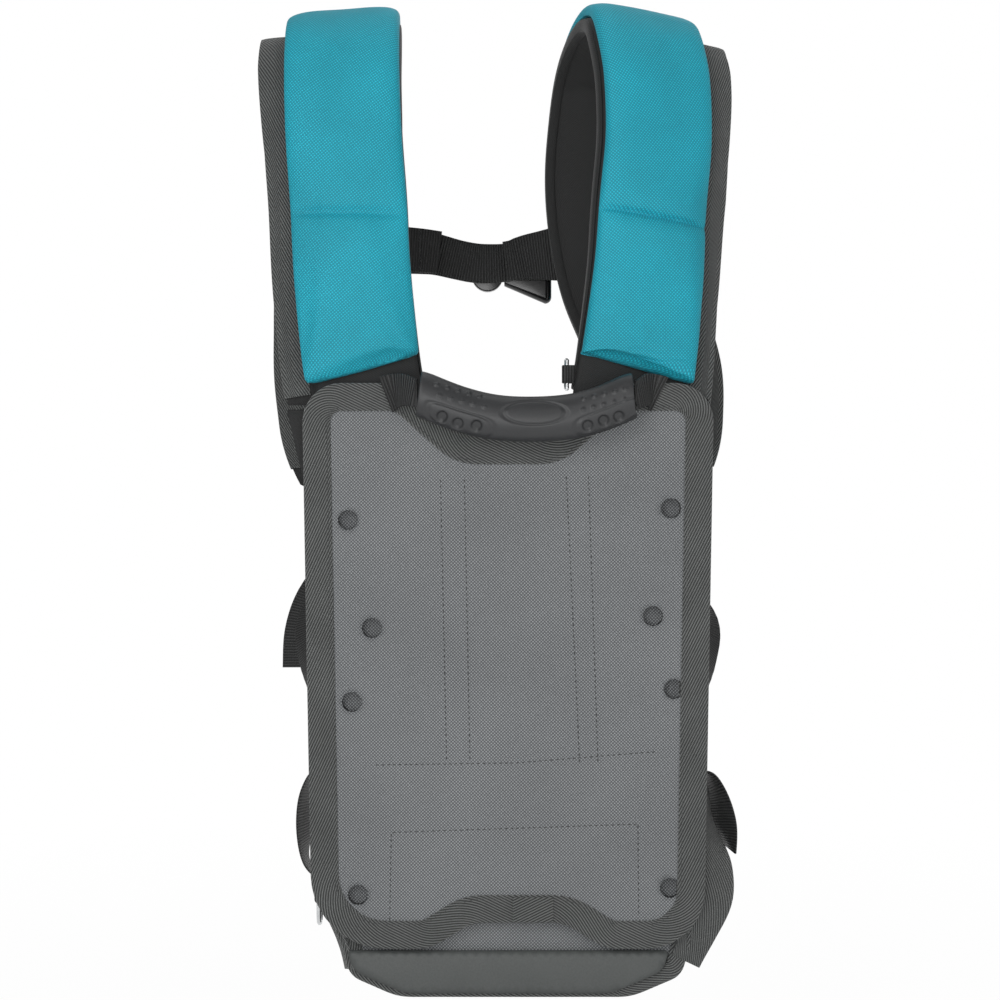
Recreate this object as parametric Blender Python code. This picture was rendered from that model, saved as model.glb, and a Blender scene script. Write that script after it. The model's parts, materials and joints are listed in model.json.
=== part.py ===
"""Carrying harness of a backpack leaf blower: panel, shoulder straps, grip and buckles.

Metres, +Z up, +X to the right as seen from the machine, +Y towards the wearer. The origin is the
middle of the flat face that the machine is bolted to. An outline lies in the XZ plane, as (x, z)
points that run anticlockwise seen from the machine.
"""
import math

import bmesh
import bpy
from mathutils import Matrix, Vector

# Fits and materials in sheet form
FIT = 0.0003
TAPE = 0.0010
WEBBING = 0.0016
WEBBING_WIDTH = 0.025

# Outer cover, with its lower edge bowed up and a notch for the grip
COVER_THICKNESS = 0.0020
COVER_TOP_HALF_WIDTH = 0.1225
COVER_FOOT_HALF_WIDTH = 0.1165
COVER_TOP_Z = 0.1800
COVER_FOOT_Z = -0.1570
COVER_LEFT_CORNER_RADIUS = 0.0440
COVER_RIGHT_CORNER_RADIUS = 0.0340
EAR_OUTER_RADIUS = 0.0220
EAR_INNER_RADIUS = 0.0200
EAR_INNER_X = 0.0620
NOTCH_HALF_WIDTH = 0.0260
NOTCH_Z = 0.1480
NOTCH_RADIUS = 0.0200
BOW_CENTRE_X = 0.0060
BOW_HALF_WIDTH = 0.0280
BOW_SLOPE_WIDTH = 0.0250
BOW_Z = -0.1415
BOW_RADIUS = 0.0260
COVER_TAPE_WIDTH = 0.0150
HOLE_RADIUS = 0.0060
HOLE_PLACES = (
    (-0.0960, 0.0990),
    (0.0978, 0.1060),
    (-0.0816, 0.0342),
    (0.0870, 0.0414),
    (-0.0936, -0.0102),
    (0.0996, -0.0024),
    (-0.0900, -0.1260),
    (0.0972, -0.1218),
)
TAPE_LAP_X = 0.0150
TAPE_LAP_LENGTH = 0.0240

# Sewn on behind the cover
LEFT_ROWS_X = -0.0345
RIGHT_ROWS_X = 0.0345
RIGHT_ROWS_LEAN = 0.0040
ROWS_TOP_Z = 0.1240
CROSS_TOP_Z = -0.0470
CROSS_HALF_LENGTH = 0.0840
PATCH_TOP_Z = -0.0890
PATCH_HALF_WIDTH = 0.0730
PATCH_HEIGHT = 0.0320
BOARD_THICKNESS = 0.0022
BOARD_HALF_WIDTH = 0.1070
BOARD_TOP_Z = 0.1150
BOARD_FOOT_Z = -0.1380
BOARD_RADIUS = 0.0120

# Back pad
PAD_SHEET = 0.0015
PAD_HALF_WIDTH = 0.1130
PAD_TOP_Z = 0.1635
PAD_EAR_RADIUS = 0.0180
PAD_NOTCH_RADIUS = 0.0120
PAD_FOOT_Z = -0.1875
LEFT_PAD_SIDE = (
    (PAD_FOOT_Z, 0.0660, 0.0350),
    (PAD_FOOT_Z + 0.0125, 0.0945, 0.0120),
    (-0.1580, 0.0985, 0.0200),
    (-0.1380, 0.1075, 0.0300),
    (-0.0600, PAD_HALF_WIDTH, 0.1500),
)
RIGHT_PAD_SIDE = (
    (PAD_FOOT_Z, 0.0740, 0.0350),
    (PAD_FOOT_Z + 0.0125, 0.1035, 0.0120),
    (-0.1580, 0.1085, 0.0200),
    (-0.1380, 0.1110, 0.0300),
    (-0.0600, PAD_HALF_WIDTH, 0.1500),
)
PAD_NOTCH_HALF_WIDTH = NOTCH_HALF_WIDTH + 0.0050
PAD_NOTCH_Z = 0.1360
PAD_TAPE_WIDTH = 0.0100
FOAM_TOP_Z = 0.1240
FOAM_INSET = 0.0130
FOAM_FOOT_RISE = 0.0100
FOAM_EDGE = 0.0060
REAR_FLANGE_WIDTH = 0.0060
FOAM_CROWN = 0.0230
FOAM_GROOVE_DEPTH = 0.0070
FOAM_GROOVE_HALF_WIDTH = 0.0050
FOAM_GROOVES_Z = (0.0600, -0.0050, -0.0700)
LUMBAR_TOP_Z = -0.1600
LUMBAR_THICKNESS = 0.0018

# Shoulder straps: height, distance from the machine face, half the distance between the two
# straps' middles, and how far that pair leans sideways
STRAP_STATIONS = (
    (0.0093, 0.1720, 0.0860, -0.0060),
    (0.0125, 0.1980, 0.0900, -0.0060),
    (0.0170, 0.2450, 0.0950, -0.0060),
    (0.0200, 0.2900, 0.0975, -0.0060),
    (0.0230, 0.3300, 0.1005, -0.0060),
    (0.0300, 0.3660, 0.1010, -0.0070),
    (0.0470, 0.3930, 0.0995, -0.0090),
    (0.0720, 0.4040, 0.0980, -0.0110),
    (0.0980, 0.3990, 0.0950, -0.0150),
    (0.1190, 0.3800, 0.0920, -0.0190),
    (0.1320, 0.3520, 0.0900, -0.0210),
    (0.1370, 0.3200, 0.0895, -0.0225),
    (0.1390, 0.2880, 0.0910, -0.0215),
    (0.1380, 0.2550, 0.0935, -0.0170),
    (0.1330, 0.2250, 0.0990, -0.0110),
    (0.1240, 0.1920, 0.1030, -0.0060),
    (0.1140, 0.1580, 0.1005, -0.0040),
    (0.1095, 0.1200, 0.0980, -0.0030),
)
RIGHT_STRAP_TWIST_DEG = (0, 8, 16, 20, 22, 20, 14, 6, 0, 0, 0, 0, 0, 0, 0, 0, 0, 0)
TWIST_PIVOT_SHARE = 0.7000
STRAP_STEP = 0.0140
STRAP_HALF_WIDTH = 0.0410
STRAP_HALF_THICKNESS = 0.0040
FLANGE_WIDTH = 0.0170
FLANGE_THICKNESS = 0.0030
STRAP_TAPER_LENGTH = 0.0450
STRAP_TAPER = 0.7400
SHOULDER_SLOPE = math.radians(5.0)
EDGE_TAPE_WIDTH = 0.0050
TEAL_FIT = 0.0006
TEAL_HALF_WIDTH = 0.0354
TEAL_MIDDLE = -0.0069
TEAL_HEIGHT = 0.0125
TEAL_FRONT_END_Z = 0.1885
TEAL_REAR_END_Z = 0.1650
TEAL_END_LENGTH = 0.0080
CREASE_FRONT_Z = 0.2820
CREASE_REAR_Z = 0.3740
CREASE_DEPTH = 0.5500
CREASE_HALF_LENGTH = 0.0060
FOOT_DEPTH_Z = 0.1230
FOOT_CUFF = 0.0014
FOOT_CUFF_STEP = 0.0002
FOOT_DRAW_IN = 0.0040
FOOT_SHIFT = 0.0060

# Carry grip
GRIP_Y = -0.0158
GRIP_AXIS_Z = 0.1745
GRIP_LINE = (
    (-0.0530, 0.1745),
    (-0.0300, 0.1655),
    (-0.0080, 0.1602),
    (0.0150, 0.1590),
    (0.0380, 0.1607),
    (0.0560, 0.1655),
    (0.0745, 0.1735),
)
GRIP_HALF_HEIGHT = 0.0135
GRIP_HALF_DEPTH = 0.0100
GRIP_SLOT_HALF_HEIGHT = 0.0112
GRIP_SLOT_HALF_DEPTH = 0.0014
GRIP_WEBBING_HALF_WIDTH = 0.0108
GRIP_END_GAP = 0.0004
# Route of the webbing from each end of the grip to its ear: how far sideways, how far behind
# the grip's middle, and the height of its middle
LEFT_ANCHOR_ROUTE = (
    (0.0050, 0.0030, 0.1755),
    (0.0100, 0.0083, 0.1765),
)
RIGHT_ANCHOR_ROUTE = (
    (0.0040, 0.0030, 0.1750),
    (0.0070, 0.0073, 0.1765),
)
ANCHOR_STUB = 0.0015
# Where each anchor lies on the ear: sideways place, height, and how far it still stands off
LEFT_ANCHOR_SEAT = ((0.0150, 0.1760, 0.0006), (0.0200, 0.1745, 0.0))
RIGHT_ANCHOR_SEAT = ((0.0110, 0.1765, 0.0008), (0.0160, 0.1745, 0.0))

# Chest strap and its buckle
CHEST_Y = 0.1365
# Heights of the lower and upper edge of each half where it is sewn to its strap, and then at
# places along it, as x, lower edge, upper edge
CHEST_LEFT_Z = (0.2592, 0.2895)
CHEST_LEFT_SAG = ((-0.0440, 0.2578, 0.2846), (-0.0200, 0.2530, 0.2790), (0.0010, 0.2540, 0.2790))
CHEST_RIGHT_SAG = ((0.0018, 0.2545, 0.2802), (0.0150, 0.2548, 0.2850))
CHEST_RIGHT_Z = (0.2550, 0.2890)
BUCKLE_Z = 0.2560
BUCKLE_HALF_HEIGHT = 0.0165
BUCKLE_DEPTH = 0.0106
SOCKET_X = (-0.0025, 0.0280)
PLUG_LENGTH = 0.0200
PRONG_LENGTH = 0.0190
PRONG_HEIGHT = 0.0040
PRONG_DEPTH = 0.0042
BUCKLE_WALL = 0.0022
BUCKLE_BEVEL = 0.0018
PRONG_GAP = 0.0010
PRONG_ROOT = 0.0030
CAVITY_END_GAP = 0.0025
MOUTH_GAP = 0.0004
WINDOW_FROM_MOUTH = (0.0080, 0.0170)
WINDOW_MARGIN = 0.0004
BAR_FROM_END = (0.0062, 0.0030)
BAR_SLOT_MARGIN = 0.0030
PLUG_STEP = 0.0015
PLUG_SLOTS_FROM_END = (0.0030, 0.0105)
PLUG_SLOT_WIDTH = 0.0036
PLUG_SLOT_MARGIN = 0.0050
# How far a cutting shape reaches past the solid it cuts
PAST = 0.0100

# D-rings
RING_WIRE = 0.0015
RING_HALF_BAR = 0.0085
RING_REACH = 0.0150
RING_SHOULDER = 0.0035
RING_FULLNESS = 0.8
UPPER_RING_Z = 0.1870
LOWER_RING_Y = 0.0140
LOWER_RING_Z = -0.1300
TAB_HALF_WIDTH = 0.0055
TAB_THICKNESS = 0.0012
TAB_LEG = 0.0130
KEEPER_LEG = 0.0045
KEEPER_SLACK = 0.0008

# Ladder locks
LOCK_HALF_WIDTH = 0.0165
LOCK_THICKNESS = 0.0026
LOCK_BAR = 0.0030
LOCK_HEIGHT = 0.0260
LOCK_DROP = 0.0165
LOCK_SLOTS = ((LOCK_BAR, 0.0120), (0.0165, 0.0225))
LOCK_MIDDLE_BAR = 0.01425
KEEPER_HALF_GAP = 0.0021

# Side loops, gussets and adjuster webbings
LOOP_Y = (0.0062, 0.0300)
LOOP_TOP_Z = -0.0520
RIGHT_LOOP = ((0.1250, -0.0560), (0.1335, -0.0700), (0.1380, -0.0865), (0.1370, -0.1010))
LEFT_LOOP = ((-0.1205, -0.0560), (-0.1262, -0.0700), (-0.1272, -0.0890), (-0.1232, -0.1080))
GUSSET_SHEET = 0.0015
GUSSET_SLACK = 0.0004
RIGHT_GUSSET = (
    (-0.1022, 0.1362, 0.0180, -0.1018),
    (-0.1150, 0.1368, 0.0185, -0.1150),
    (-0.1300, 0.1362, 0.0180, -0.1320),
    (-0.1480, 0.1265, 0.0150, -0.1510),
    (-0.1690, 0.1160, 0.0085, -0.1650),
)
LEFT_GUSSET_Z = (-0.1440, -0.1530, -0.1620, -0.1720)
LEFT_GUSSET_Y = 0.0140
LEFT_LOOP_END = (0.0018, 0.0134)
SEAT_SLACK = 0.0001
ADJUSTER_FOOT_Z = -0.0440
ADJUSTER_TURN = 0.0026
ADJUSTER_TURN_GAP = 0.0004
ADJUSTER_CLEAR = 0.0020
# Stations of an adjuster webbing on its way up from the pad's side: how far outside the seat,
# distance from the machine face, height, and the way its width points
ADJUSTER_RISE = (
    (0.0, 0.0181, ADJUSTER_FOOT_Z, 0.0, 1.0),
    (0.0, 0.0181, -0.0300, 0.0, 1.0),
    (0.0040, 0.0300, -0.0080, 0.1, 1.0),
    (0.0075, 0.0500, 0.0160, 0.5, 1.0),
    (0.0065, 0.0720, 0.0380, 1.0, 0.8),
)
ADJUSTER_TOP_SHARE = 0.40
ADJUSTER_TOP = (0.0950, 0.0580, 0.3)
# Stations of the free tails below the locks: sideways and in depth from the lock's axis, height,
# and how far the width turns
LEFT_TAIL = (
    (-0.0060, -0.0050, 0.0720, 0.1),
    (-0.0220, -0.0160, 0.0500, 0.3),
    (-0.0290, -0.0230, 0.0280, 0.35),
    (-0.0300, -0.0260, 0.0050, 0.35),
)
RIGHT_TAIL = (
    (0.0, -0.0050, 0.0700, 0.0),
    (0.0, -0.0100, 0.0450, 0.0),
    (0.0, -0.0120, 0.0200, 0.0),
)

GREY_CANVAS = (0.17, 0.18, 0.18)
BLACK_TWILL = (0.07, 0.075, 0.075)
BLACK_WEBBING = (0.028, 0.028, 0.028)
BLACK_FABRIC = (0.03, 0.03, 0.03)
TEAL = (0.01, 0.33, 0.44)
BLACK_PLASTIC = (0.03, 0.03, 0.032)
ZINC = (0.72, 0.73, 0.74)

# Depths of the layers, worked out from the sheets' thicknesses
COVER_BACK = COVER_THICKNESS
SEWN_FRONT = COVER_BACK + FIT
SEWN_BACK = SEWN_FRONT + TAPE
BOARD_FRONT = SEWN_BACK + 0.0005
BOARD_BACK = BOARD_FRONT + BOARD_THICKNESS
PAD_LIP_FRONT = BOARD_BACK + FIT
PAD_FRONT = PAD_LIP_FRONT + TAPE + FIT
PAD_BACK = PAD_FRONT + PAD_SHEET
REAR_FLANGE = PAD_BACK + FIT
REAR_FLANGE_BACK = REAR_FLANGE + PAD_SHEET
PAD_SIDE_OUT = PAD_HALF_WIDTH + FIT + TAPE


# ------------------------------------------------------------------ helpers
def material(name, colour, roughness, metallic=0.0):
    """A Principled material with one colour."""
    made = bpy.data.materials.new(name)
    made.use_nodes = True
    shader = made.node_tree.nodes["Principled BSDF"]
    shader.inputs["Base Color"].default_value = (*colour, 1.0)
    shader.inputs["Roughness"].default_value = roughness
    shader.inputs["Metallic"].default_value = metallic
    return made


def add_solid(name, shape, look, parent=None, sharp_deg=35.0):
    """An object from (points, faces) given in world metres, its faces turned outwards."""
    points, faces = shape
    anchor = parent.location if parent else Vector((0.0, 0.0, 0.0))
    mesh = bpy.data.meshes.new(name)
    mesh.from_pydata([Vector(point) - anchor for point in points], [], faces)
    tidy = bmesh.new()
    tidy.from_mesh(mesh)
    bmesh.ops.recalc_face_normals(tidy, faces=tidy.faces)
    tidy.to_mesh(mesh)
    tidy.free()
    mesh.shade_smooth()
    mesh.set_sharp_from_angle(angle=math.radians(sharp_deg))
    mesh.materials.append(look)
    made = bpy.data.objects.new(name, mesh)
    bpy.context.scene.collection.objects.link(made)
    made.parent = parent
    return made


def pivot(name, place):
    """An empty on a joint's axis, which carries the pieces that turn or slide there."""
    made = bpy.data.objects.new(name, None)
    made.location = place
    bpy.context.scene.collection.objects.link(made)
    return made


def cutter(name, shape):
    """A solid that only cuts: hidden in renders and drawn as wire."""
    made = add_solid(name, shape, bpy.data.materials[0])
    made.hide_render = True
    made.display_type = "WIRE"
    return made


def cut(target, tool, operation="DIFFERENCE"):
    """A Boolean on target with another object."""
    made = target.modifiers.new(operation.title(), "BOOLEAN")
    made.operation = operation
    made.object = tool
    made.solver = "EXACT"


def bevel(target, width, segments=2):
    """Rounded edges on a moulded piece."""
    made = target.modifiers.new("Bevel", "BEVEL")
    made.width = width
    made.segments = segments
    made.limit_method = "ANGLE"
    made.angle_limit = math.radians(40.0)


def skin(rings, closed=False, split=False):
    """Points and faces over rings of equal length, capped at both ends unless closed.

    Split, each side face is two triangles with the same diagonal, so that two skins that lie on
    each other round a bend keep their clearance.
    """
    size = len(rings[0])
    count = len(rings)
    points = [point for ring in rings for point in ring]
    faces = []
    for index in range(count if closed else count - 1):
        here = index * size
        there = (index + 1) % count * size
        for corner in range(size):
            after = (corner + 1) % size
            quad = (here + corner, here + after, there + after, there + corner)
            faces += [quad[:3], (quad[0], quad[2], quad[3])] if split else [quad]
    if not closed:
        faces.append(tuple(range(size)))
        faces.append(tuple(range((count - 1) * size, count * size)))
    return points, faces


def plate(outline, front, back):
    """An outline extruded along Y."""
    return skin([[(x, depth, z) for x, z in outline] for depth in (front, back)])


def box(low, high):
    """A block between two corners."""
    outline = [(low[0], low[2]), (high[0], low[2]), (high[0], high[2]), (low[0], high[2])]
    return plate(outline, low[1], high[1])


def joined(*shapes):
    """Several closed shapes as one set of points and faces."""
    points = []
    faces = []
    for more_points, more_faces in shapes:
        start = len(points)
        points += more_points
        faces += [tuple(start + corner for corner in face) for face in more_faces]
    return points, faces


def filleted(corners, step_deg=18.0):
    """A closed outline through (x, z, radius) corners, each rounded by an arc."""
    outline = []
    for index, (x, z, radius) in enumerate(corners):
        corner = Vector((x, z))
        before = Vector(corners[index - 1][:2]) - corner
        after = Vector(corners[(index + 1) % len(corners)][:2]) - corner
        before.normalize()
        after.normalize()
        opening = before.angle(after)
        turn = math.pi - opening
        middle = (before + after).normalized()
        centre = corner + middle * radius / math.sin(opening / 2)
        start = corner + before * radius / math.tan(opening / 2) - centre
        side = 1.0 if before.x * after.y - before.y * after.x < 0.0 else -1.0
        steps = max(1, round(math.degrees(turn) / step_deg))
        for step in range(steps + 1):
            angle = side * turn * step / steps
            spoke = Vector((
                start.x * math.cos(angle) - start.y * math.sin(angle),
                start.x * math.sin(angle) + start.y * math.cos(angle),
            ))
            outline.append(tuple(centre + spoke))
    return outline


def both_sides(right_half):
    """Corners of a mirrored outline, from its right half listed from foot to top."""
    return list(right_half) + [(-x, z, radius) for x, z, radius in reversed(right_half)]


def offset(outline, distance):
    """An outline moved outwards by a distance, or inwards by a negative one."""
    moved = []
    for index, point in enumerate(outline):
        here = Vector(point)
        before = (here - Vector(outline[index - 1])).normalized()
        after = (Vector(outline[(index + 1) % len(outline)]) - here).normalized()
        normals = [Vector((way.y, -way.x)) for way in (before, after)]
        middle = (normals[0] + normals[1]).normalized()
        moved.append(tuple(here + middle * distance / max(0.5, middle.dot(normals[0]))))
    return moved


def edge_channel(outline, front, back, lip, tape=TAPE):
    """Tape folded over the edge of a sheet that lies between two depths."""
    section = (
        (-lip, front - FIT - tape),
        (FIT + tape, front - FIT - tape),
        (FIT + tape, back + FIT + tape),
        (-lip, back + FIT + tape),
        (-lip, back + FIT),
        (FIT, back + FIT),
        (FIT, front - FIT),
        (-lip, front - FIT),
    )
    loops = [(offset(outline, out), depth) for out, depth in section]
    rings = [
        [(loop[index][0], depth, loop[index][1]) for loop, depth in loops]
        for index in range(len(outline))
    ]
    return skin(rings, closed=True)


def curve(knots, steps):
    """Points of a smooth curve through knots of any number of values."""
    found = []
    last = len(knots) - 1
    for span in range(last):
        four = [knots[min(max(span + shift, 0), last)] for shift in (-1, 0, 1, 2)]
        for step in range(steps):
            t = step / steps
            found.append(tuple(
                0.5 * (2 * b + (c - a) * t + (2 * a - 5 * b + 4 * c - d) * t**2
                       + (3 * b - a - 3 * c + d) * t**3)
                for a, b, c, d in zip(*four)
            ))
    found.append(tuple(knots[-1]))
    return found


def spaced(points, step):
    """Points of a polyline at nearly equal distances."""
    lengths = [0.0]
    for one, other in zip(points, points[1:]):
        lengths.append(lengths[-1] + (Vector(other[:3]) - Vector(one[:3])).length)
    count = max(2, round(lengths[-1] / step))
    found = []
    span = 0
    for index in range(count + 1):
        wanted = lengths[-1] * index / count
        while span < len(points) - 2 and lengths[span + 1] < wanted:
            span += 1
        share = (wanted - lengths[span]) / (lengths[span + 1] - lengths[span])
        pair = zip(points[span], points[span + 1])
        found.append(tuple(one + (other - one) * min(share, 1.0) for one, other in pair))
    return found


def band(edges, thickness):
    """Webbing between two edges, given as pairs of points along its length."""
    middles = [(Vector(low) + Vector(high)) / 2 for low, high in edges]
    rings = []
    for index, (low, high) in enumerate(edges):
        ahead = middles[min(index + 1, len(edges) - 1)]
        behind = middles[max(index - 1, 0)]
        across = Vector(high) - Vector(low)
        half = across.cross(ahead - behind).normalized() * thickness / 2
        low = Vector(low)
        high = Vector(high)
        rings.append([low - half, high - half, high + half, low + half])
    return skin(rings)


def strip(middles, across, width, thickness):
    """Webbing of one width along middles, each with its direction across."""
    edges = []
    for middle, way in zip(middles, across):
        half = Vector(way).normalized() * width / 2
        edges.append((Vector(middle) - half, Vector(middle) + half))
    return band(edges, thickness)


# ------------------------------------------------------------------ panel
def cover_outline():
    """The cover's cut edge: ears, notch and the lower edge that bows up."""
    right = [
        (BOW_CENTRE_X + BOW_HALF_WIDTH, BOW_Z, BOW_RADIUS),
        (BOW_CENTRE_X + BOW_HALF_WIDTH + BOW_SLOPE_WIDTH, COVER_FOOT_Z, BOW_RADIUS),
        (COVER_FOOT_HALF_WIDTH, COVER_FOOT_Z, COVER_RIGHT_CORNER_RADIUS),
        (COVER_TOP_HALF_WIDTH, COVER_TOP_Z, EAR_OUTER_RADIUS),
        (EAR_INNER_X, COVER_TOP_Z, EAR_INNER_RADIUS),
        (NOTCH_HALF_WIDTH, NOTCH_Z, NOTCH_RADIUS),
    ]
    left = [(-x, z, radius) for x, z, radius in reversed(right[3:])]
    left.append((-COVER_FOOT_HALF_WIDTH, COVER_FOOT_Z, COVER_LEFT_CORNER_RADIUS))
    left.append((BOW_CENTRE_X - BOW_HALF_WIDTH - BOW_SLOPE_WIDTH, COVER_FOOT_Z, BOW_RADIUS))
    left.append((BOW_CENTRE_X - BOW_HALF_WIDTH, BOW_Z, BOW_RADIUS))
    return filleted(right + left)


def hole_cutter(name, front, back, radius):
    """The eight bolt holes as one cutting tool."""
    rods = []
    for x, z in HOLE_PLACES:
        angles = [2.0 * math.pi * step / 20 for step in range(20)]
        circle = [(x + radius * math.cos(a), z + radius * math.sin(a)) for a in angles]
        rods.append(plate(circle, front, back))
    return cutter(name, joined(*rods))


def build_cover(looks):
    """Cover, its binding, and what is sewn on behind it."""
    outline = cover_outline()
    holes = hole_cutter("hole_tool", -0.01, BOARD_BACK + 0.0001, HOLE_RADIUS)
    cover = add_solid("outer_cover", plate(outline, 0.0, COVER_BACK), looks["canvas"])
    cut(cover, holes)
    channel = edge_channel(outline, 0.0, COVER_BACK, COVER_TAPE_WIDTH)
    add_solid("cover_binding", channel, looks["twill"])

    lap_front = -2 * FIT - 2 * TAPE
    lap = box(
        (TAPE_LAP_X - TAPE_LAP_LENGTH / 2, lap_front, BOW_Z),
        (TAPE_LAP_X + TAPE_LAP_LENGTH / 2, lap_front + TAPE, BOW_Z + COVER_TAPE_WIDTH - FIT),
    )
    add_solid("binding_lap", lap, looks["twill"])

    for name, top_x, foot_x in (
        ("reinforcement_left", LEFT_ROWS_X, LEFT_ROWS_X + RIGHT_ROWS_LEAN),
        ("reinforcement_right", RIGHT_ROWS_X, RIGHT_ROWS_X + 2 * RIGHT_ROWS_LEAN),
    ):
        half = WEBBING_WIDTH / 2
        foot_z = CROSS_TOP_Z + FIT
        outline = [
            (foot_x - half, foot_z),
            (foot_x + half, foot_z),
            (top_x + half, ROWS_TOP_Z),
            (top_x - half, ROWS_TOP_Z),
        ]
        add_solid(name, plate(outline, SEWN_FRONT, SEWN_BACK), looks["webbing"])
    cross = box(
        (-CROSS_HALF_LENGTH, SEWN_FRONT, CROSS_TOP_Z - WEBBING_WIDTH),
        (CROSS_HALF_LENGTH, SEWN_BACK, CROSS_TOP_Z),
    )
    add_solid("cross_webbing", cross, looks["webbing"])
    patch = box(
        (-PATCH_HALF_WIDTH, SEWN_FRONT, PATCH_TOP_Z - PATCH_HEIGHT),
        (PATCH_HALF_WIDTH, SEWN_BACK, PATCH_TOP_Z),
    )
    add_solid("pocket_patch", patch, looks["canvas"])

    board_corners = both_sides((
        (BOARD_HALF_WIDTH, BOARD_FOOT_Z, BOARD_RADIUS),
        (BOARD_HALF_WIDTH, BOARD_TOP_Z, BOARD_RADIUS),
    ))
    board = add_solid(
        "back_board", plate(filleted(board_corners), BOARD_FRONT, BOARD_BACK), looks["board"]
    )
    cut(board, holes)


def pad_outline():
    """Edge of the back pad's flat sheets, narrower towards its foot and more so on the left."""
    right = [(half, z, radius) for z, half, radius in RIGHT_PAD_SIDE]
    left = [(-half, z, radius) for z, half, radius in reversed(LEFT_PAD_SIDE)]
    top = both_sides((
        (PAD_HALF_WIDTH, PAD_TOP_Z, PAD_EAR_RADIUS),
        (EAR_INNER_X, PAD_TOP_Z, PAD_NOTCH_RADIUS),
        (PAD_NOTCH_HALF_WIDTH, PAD_NOTCH_Z, PAD_NOTCH_RADIUS),
    ))
    return filleted(right + top + left)


def pad_half_width(z, side):
    """How far the pad reaches to one side at a height below its ears."""
    table = LEFT_PAD_SIDE if side < 0 else RIGHT_PAD_SIDE
    for (low_z, low, _), (high_z, high, _) in zip(table, table[1:]):
        if z <= high_z:
            return low + (high - low) * max(0.0, z - low_z) / (high_z - low_z)
    return PAD_HALF_WIDTH


def foam_height(across, up, z):
    """How far the foam stands behind the pad's sheet: crowned, with sewn grooves."""
    crown = (1.0 - abs(across) ** 5) * (1.0 - abs(up) ** 8)
    height = FOAM_EDGE + FOAM_CROWN * math.sqrt(max(crown, 0.0))
    for groove in FOAM_GROOVES_Z:
        share = math.exp(-(((z - groove) / FOAM_GROOVE_HALF_WIDTH) ** 2))
        height -= FOAM_GROOVE_DEPTH * share * math.sqrt(max(crown, 0.0))
    return height


def foam_shares():
    """Rows of the grid from foot to top, closer together at each groove and at both ends."""
    low = PAD_FOOT_Z + FOAM_INSET
    length = FOAM_TOP_Z - low
    shares = [0.0, 0.02, 0.06, 0.14, 0.86, 0.94, 0.98, 1.0]
    for groove in FOAM_GROOVES_Z:
        for share in (-3.2, -1.4, 0.0, 1.4, 3.2):
            shares.append((groove - low + FOAM_GROOVE_HALF_WIDTH * share) / length)
    return sorted(shares)


def foam_grid(grow, lift):
    """Rows of points over the foam, grown sideways and lifted off it."""
    columns = (-1.0, -0.985, -0.9, -0.6, 0.0, 0.6, 0.9, 0.985, 1.0)
    low = PAD_FOOT_Z + FOAM_INSET
    grid = []
    for share in foam_shares():
        z = low + (FOAM_TOP_Z - low) * share
        end = (share == 1.0) - (share == 0.0)
        line = []
        for across in columns:
            half = pad_half_width(z, across) - FOAM_INSET + grow
            depth = REAR_FLANGE + foam_height(across, 2.0 * share - 1.0, z) + lift
            rise = FOAM_FOOT_RISE * across**4 * (1.0 - share) ** 4
            line.append((across * half, depth, z + end * grow + rise))
        grid.append(line)
    return grid


def grid_rim(rows, columns):
    """Indices round a grid, anticlockwise seen from the machine."""
    rim = list(range(columns))
    rim += [row * columns + columns - 1 for row in range(1, rows)]
    rim += [(rows - 1) * columns + column for column in range(columns - 2, -1, -1)]
    rim += [row * columns for row in range(rows - 2, 0, -1)]
    return rim


def grid_faces(rows, columns, start, flip):
    """Faces of one grid whose points begin at an index."""
    faces = []
    for row in range(rows - 1):
        for column in range(columns - 1):
            corner = start + row * columns + column
            quad = (corner, corner + 1, corner + columns + 1, corner + columns)
            faces.append(quad[::-1] if flip else quad)
    return faces


def wall_faces(loops):
    """Faces that join each loop of indices to the next."""
    faces = []
    for one, other in zip(loops, loops[1:]):
        for index in range(len(one)):
            after = (index + 1) % len(one)
            faces.append((one[index], other[index], other[after], one[after]))
    return faces


def foam_shape():
    """The foam: flat against the pad's sheet, crowned and grooved behind."""
    grid = foam_grid(0.0, 0.0)
    rows = len(grid)
    columns = len(grid[0])
    count = rows * columns
    points = [(x, REAR_FLANGE, z) for line in grid for x, _, z in line]
    points += [point for line in grid for point in line]
    rim = grid_rim(rows, columns)
    faces = grid_faces(rows, columns, 0, False) + grid_faces(rows, columns, count, True)
    faces += wall_faces([rim, [count + index for index in rim]])
    return points, faces


def rear_cover_shape():
    """The rear cover: a shell over the foam with a flat flange sewn into the binding."""
    inner = foam_grid(FIT, FIT)
    outer = foam_grid(FIT + PAD_SHEET, FIT + PAD_SHEET)
    rows = len(inner)
    columns = len(inner[0])
    count = rows * columns
    points = [point for line in inner + outer for point in line]
    faces = grid_faces(rows, columns, 0, True) + grid_faces(rows, columns, count, False)
    rim = grid_rim(rows, columns)
    inner_edge = [(points[index][0], points[index][2]) for index in rim]
    outer_edge = [(points[count + index][0], points[count + index][2]) for index in rim]
    flange_edge = offset(inner_edge, REAR_FLANGE_WIDTH)
    loops = [rim]
    for edge, depth in (
        (inner_edge, REAR_FLANGE),
        (flange_edge, REAR_FLANGE),
        (flange_edge, REAR_FLANGE_BACK),
        (outer_edge, REAR_FLANGE_BACK),
    ):
        loops.append(list(range(len(points), len(points) + len(rim))))
        points += [(x, depth, z) for x, z in edge]
    loops.append([count + index for index in rim])
    faces += wall_faces(loops)
    return points, faces


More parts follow.
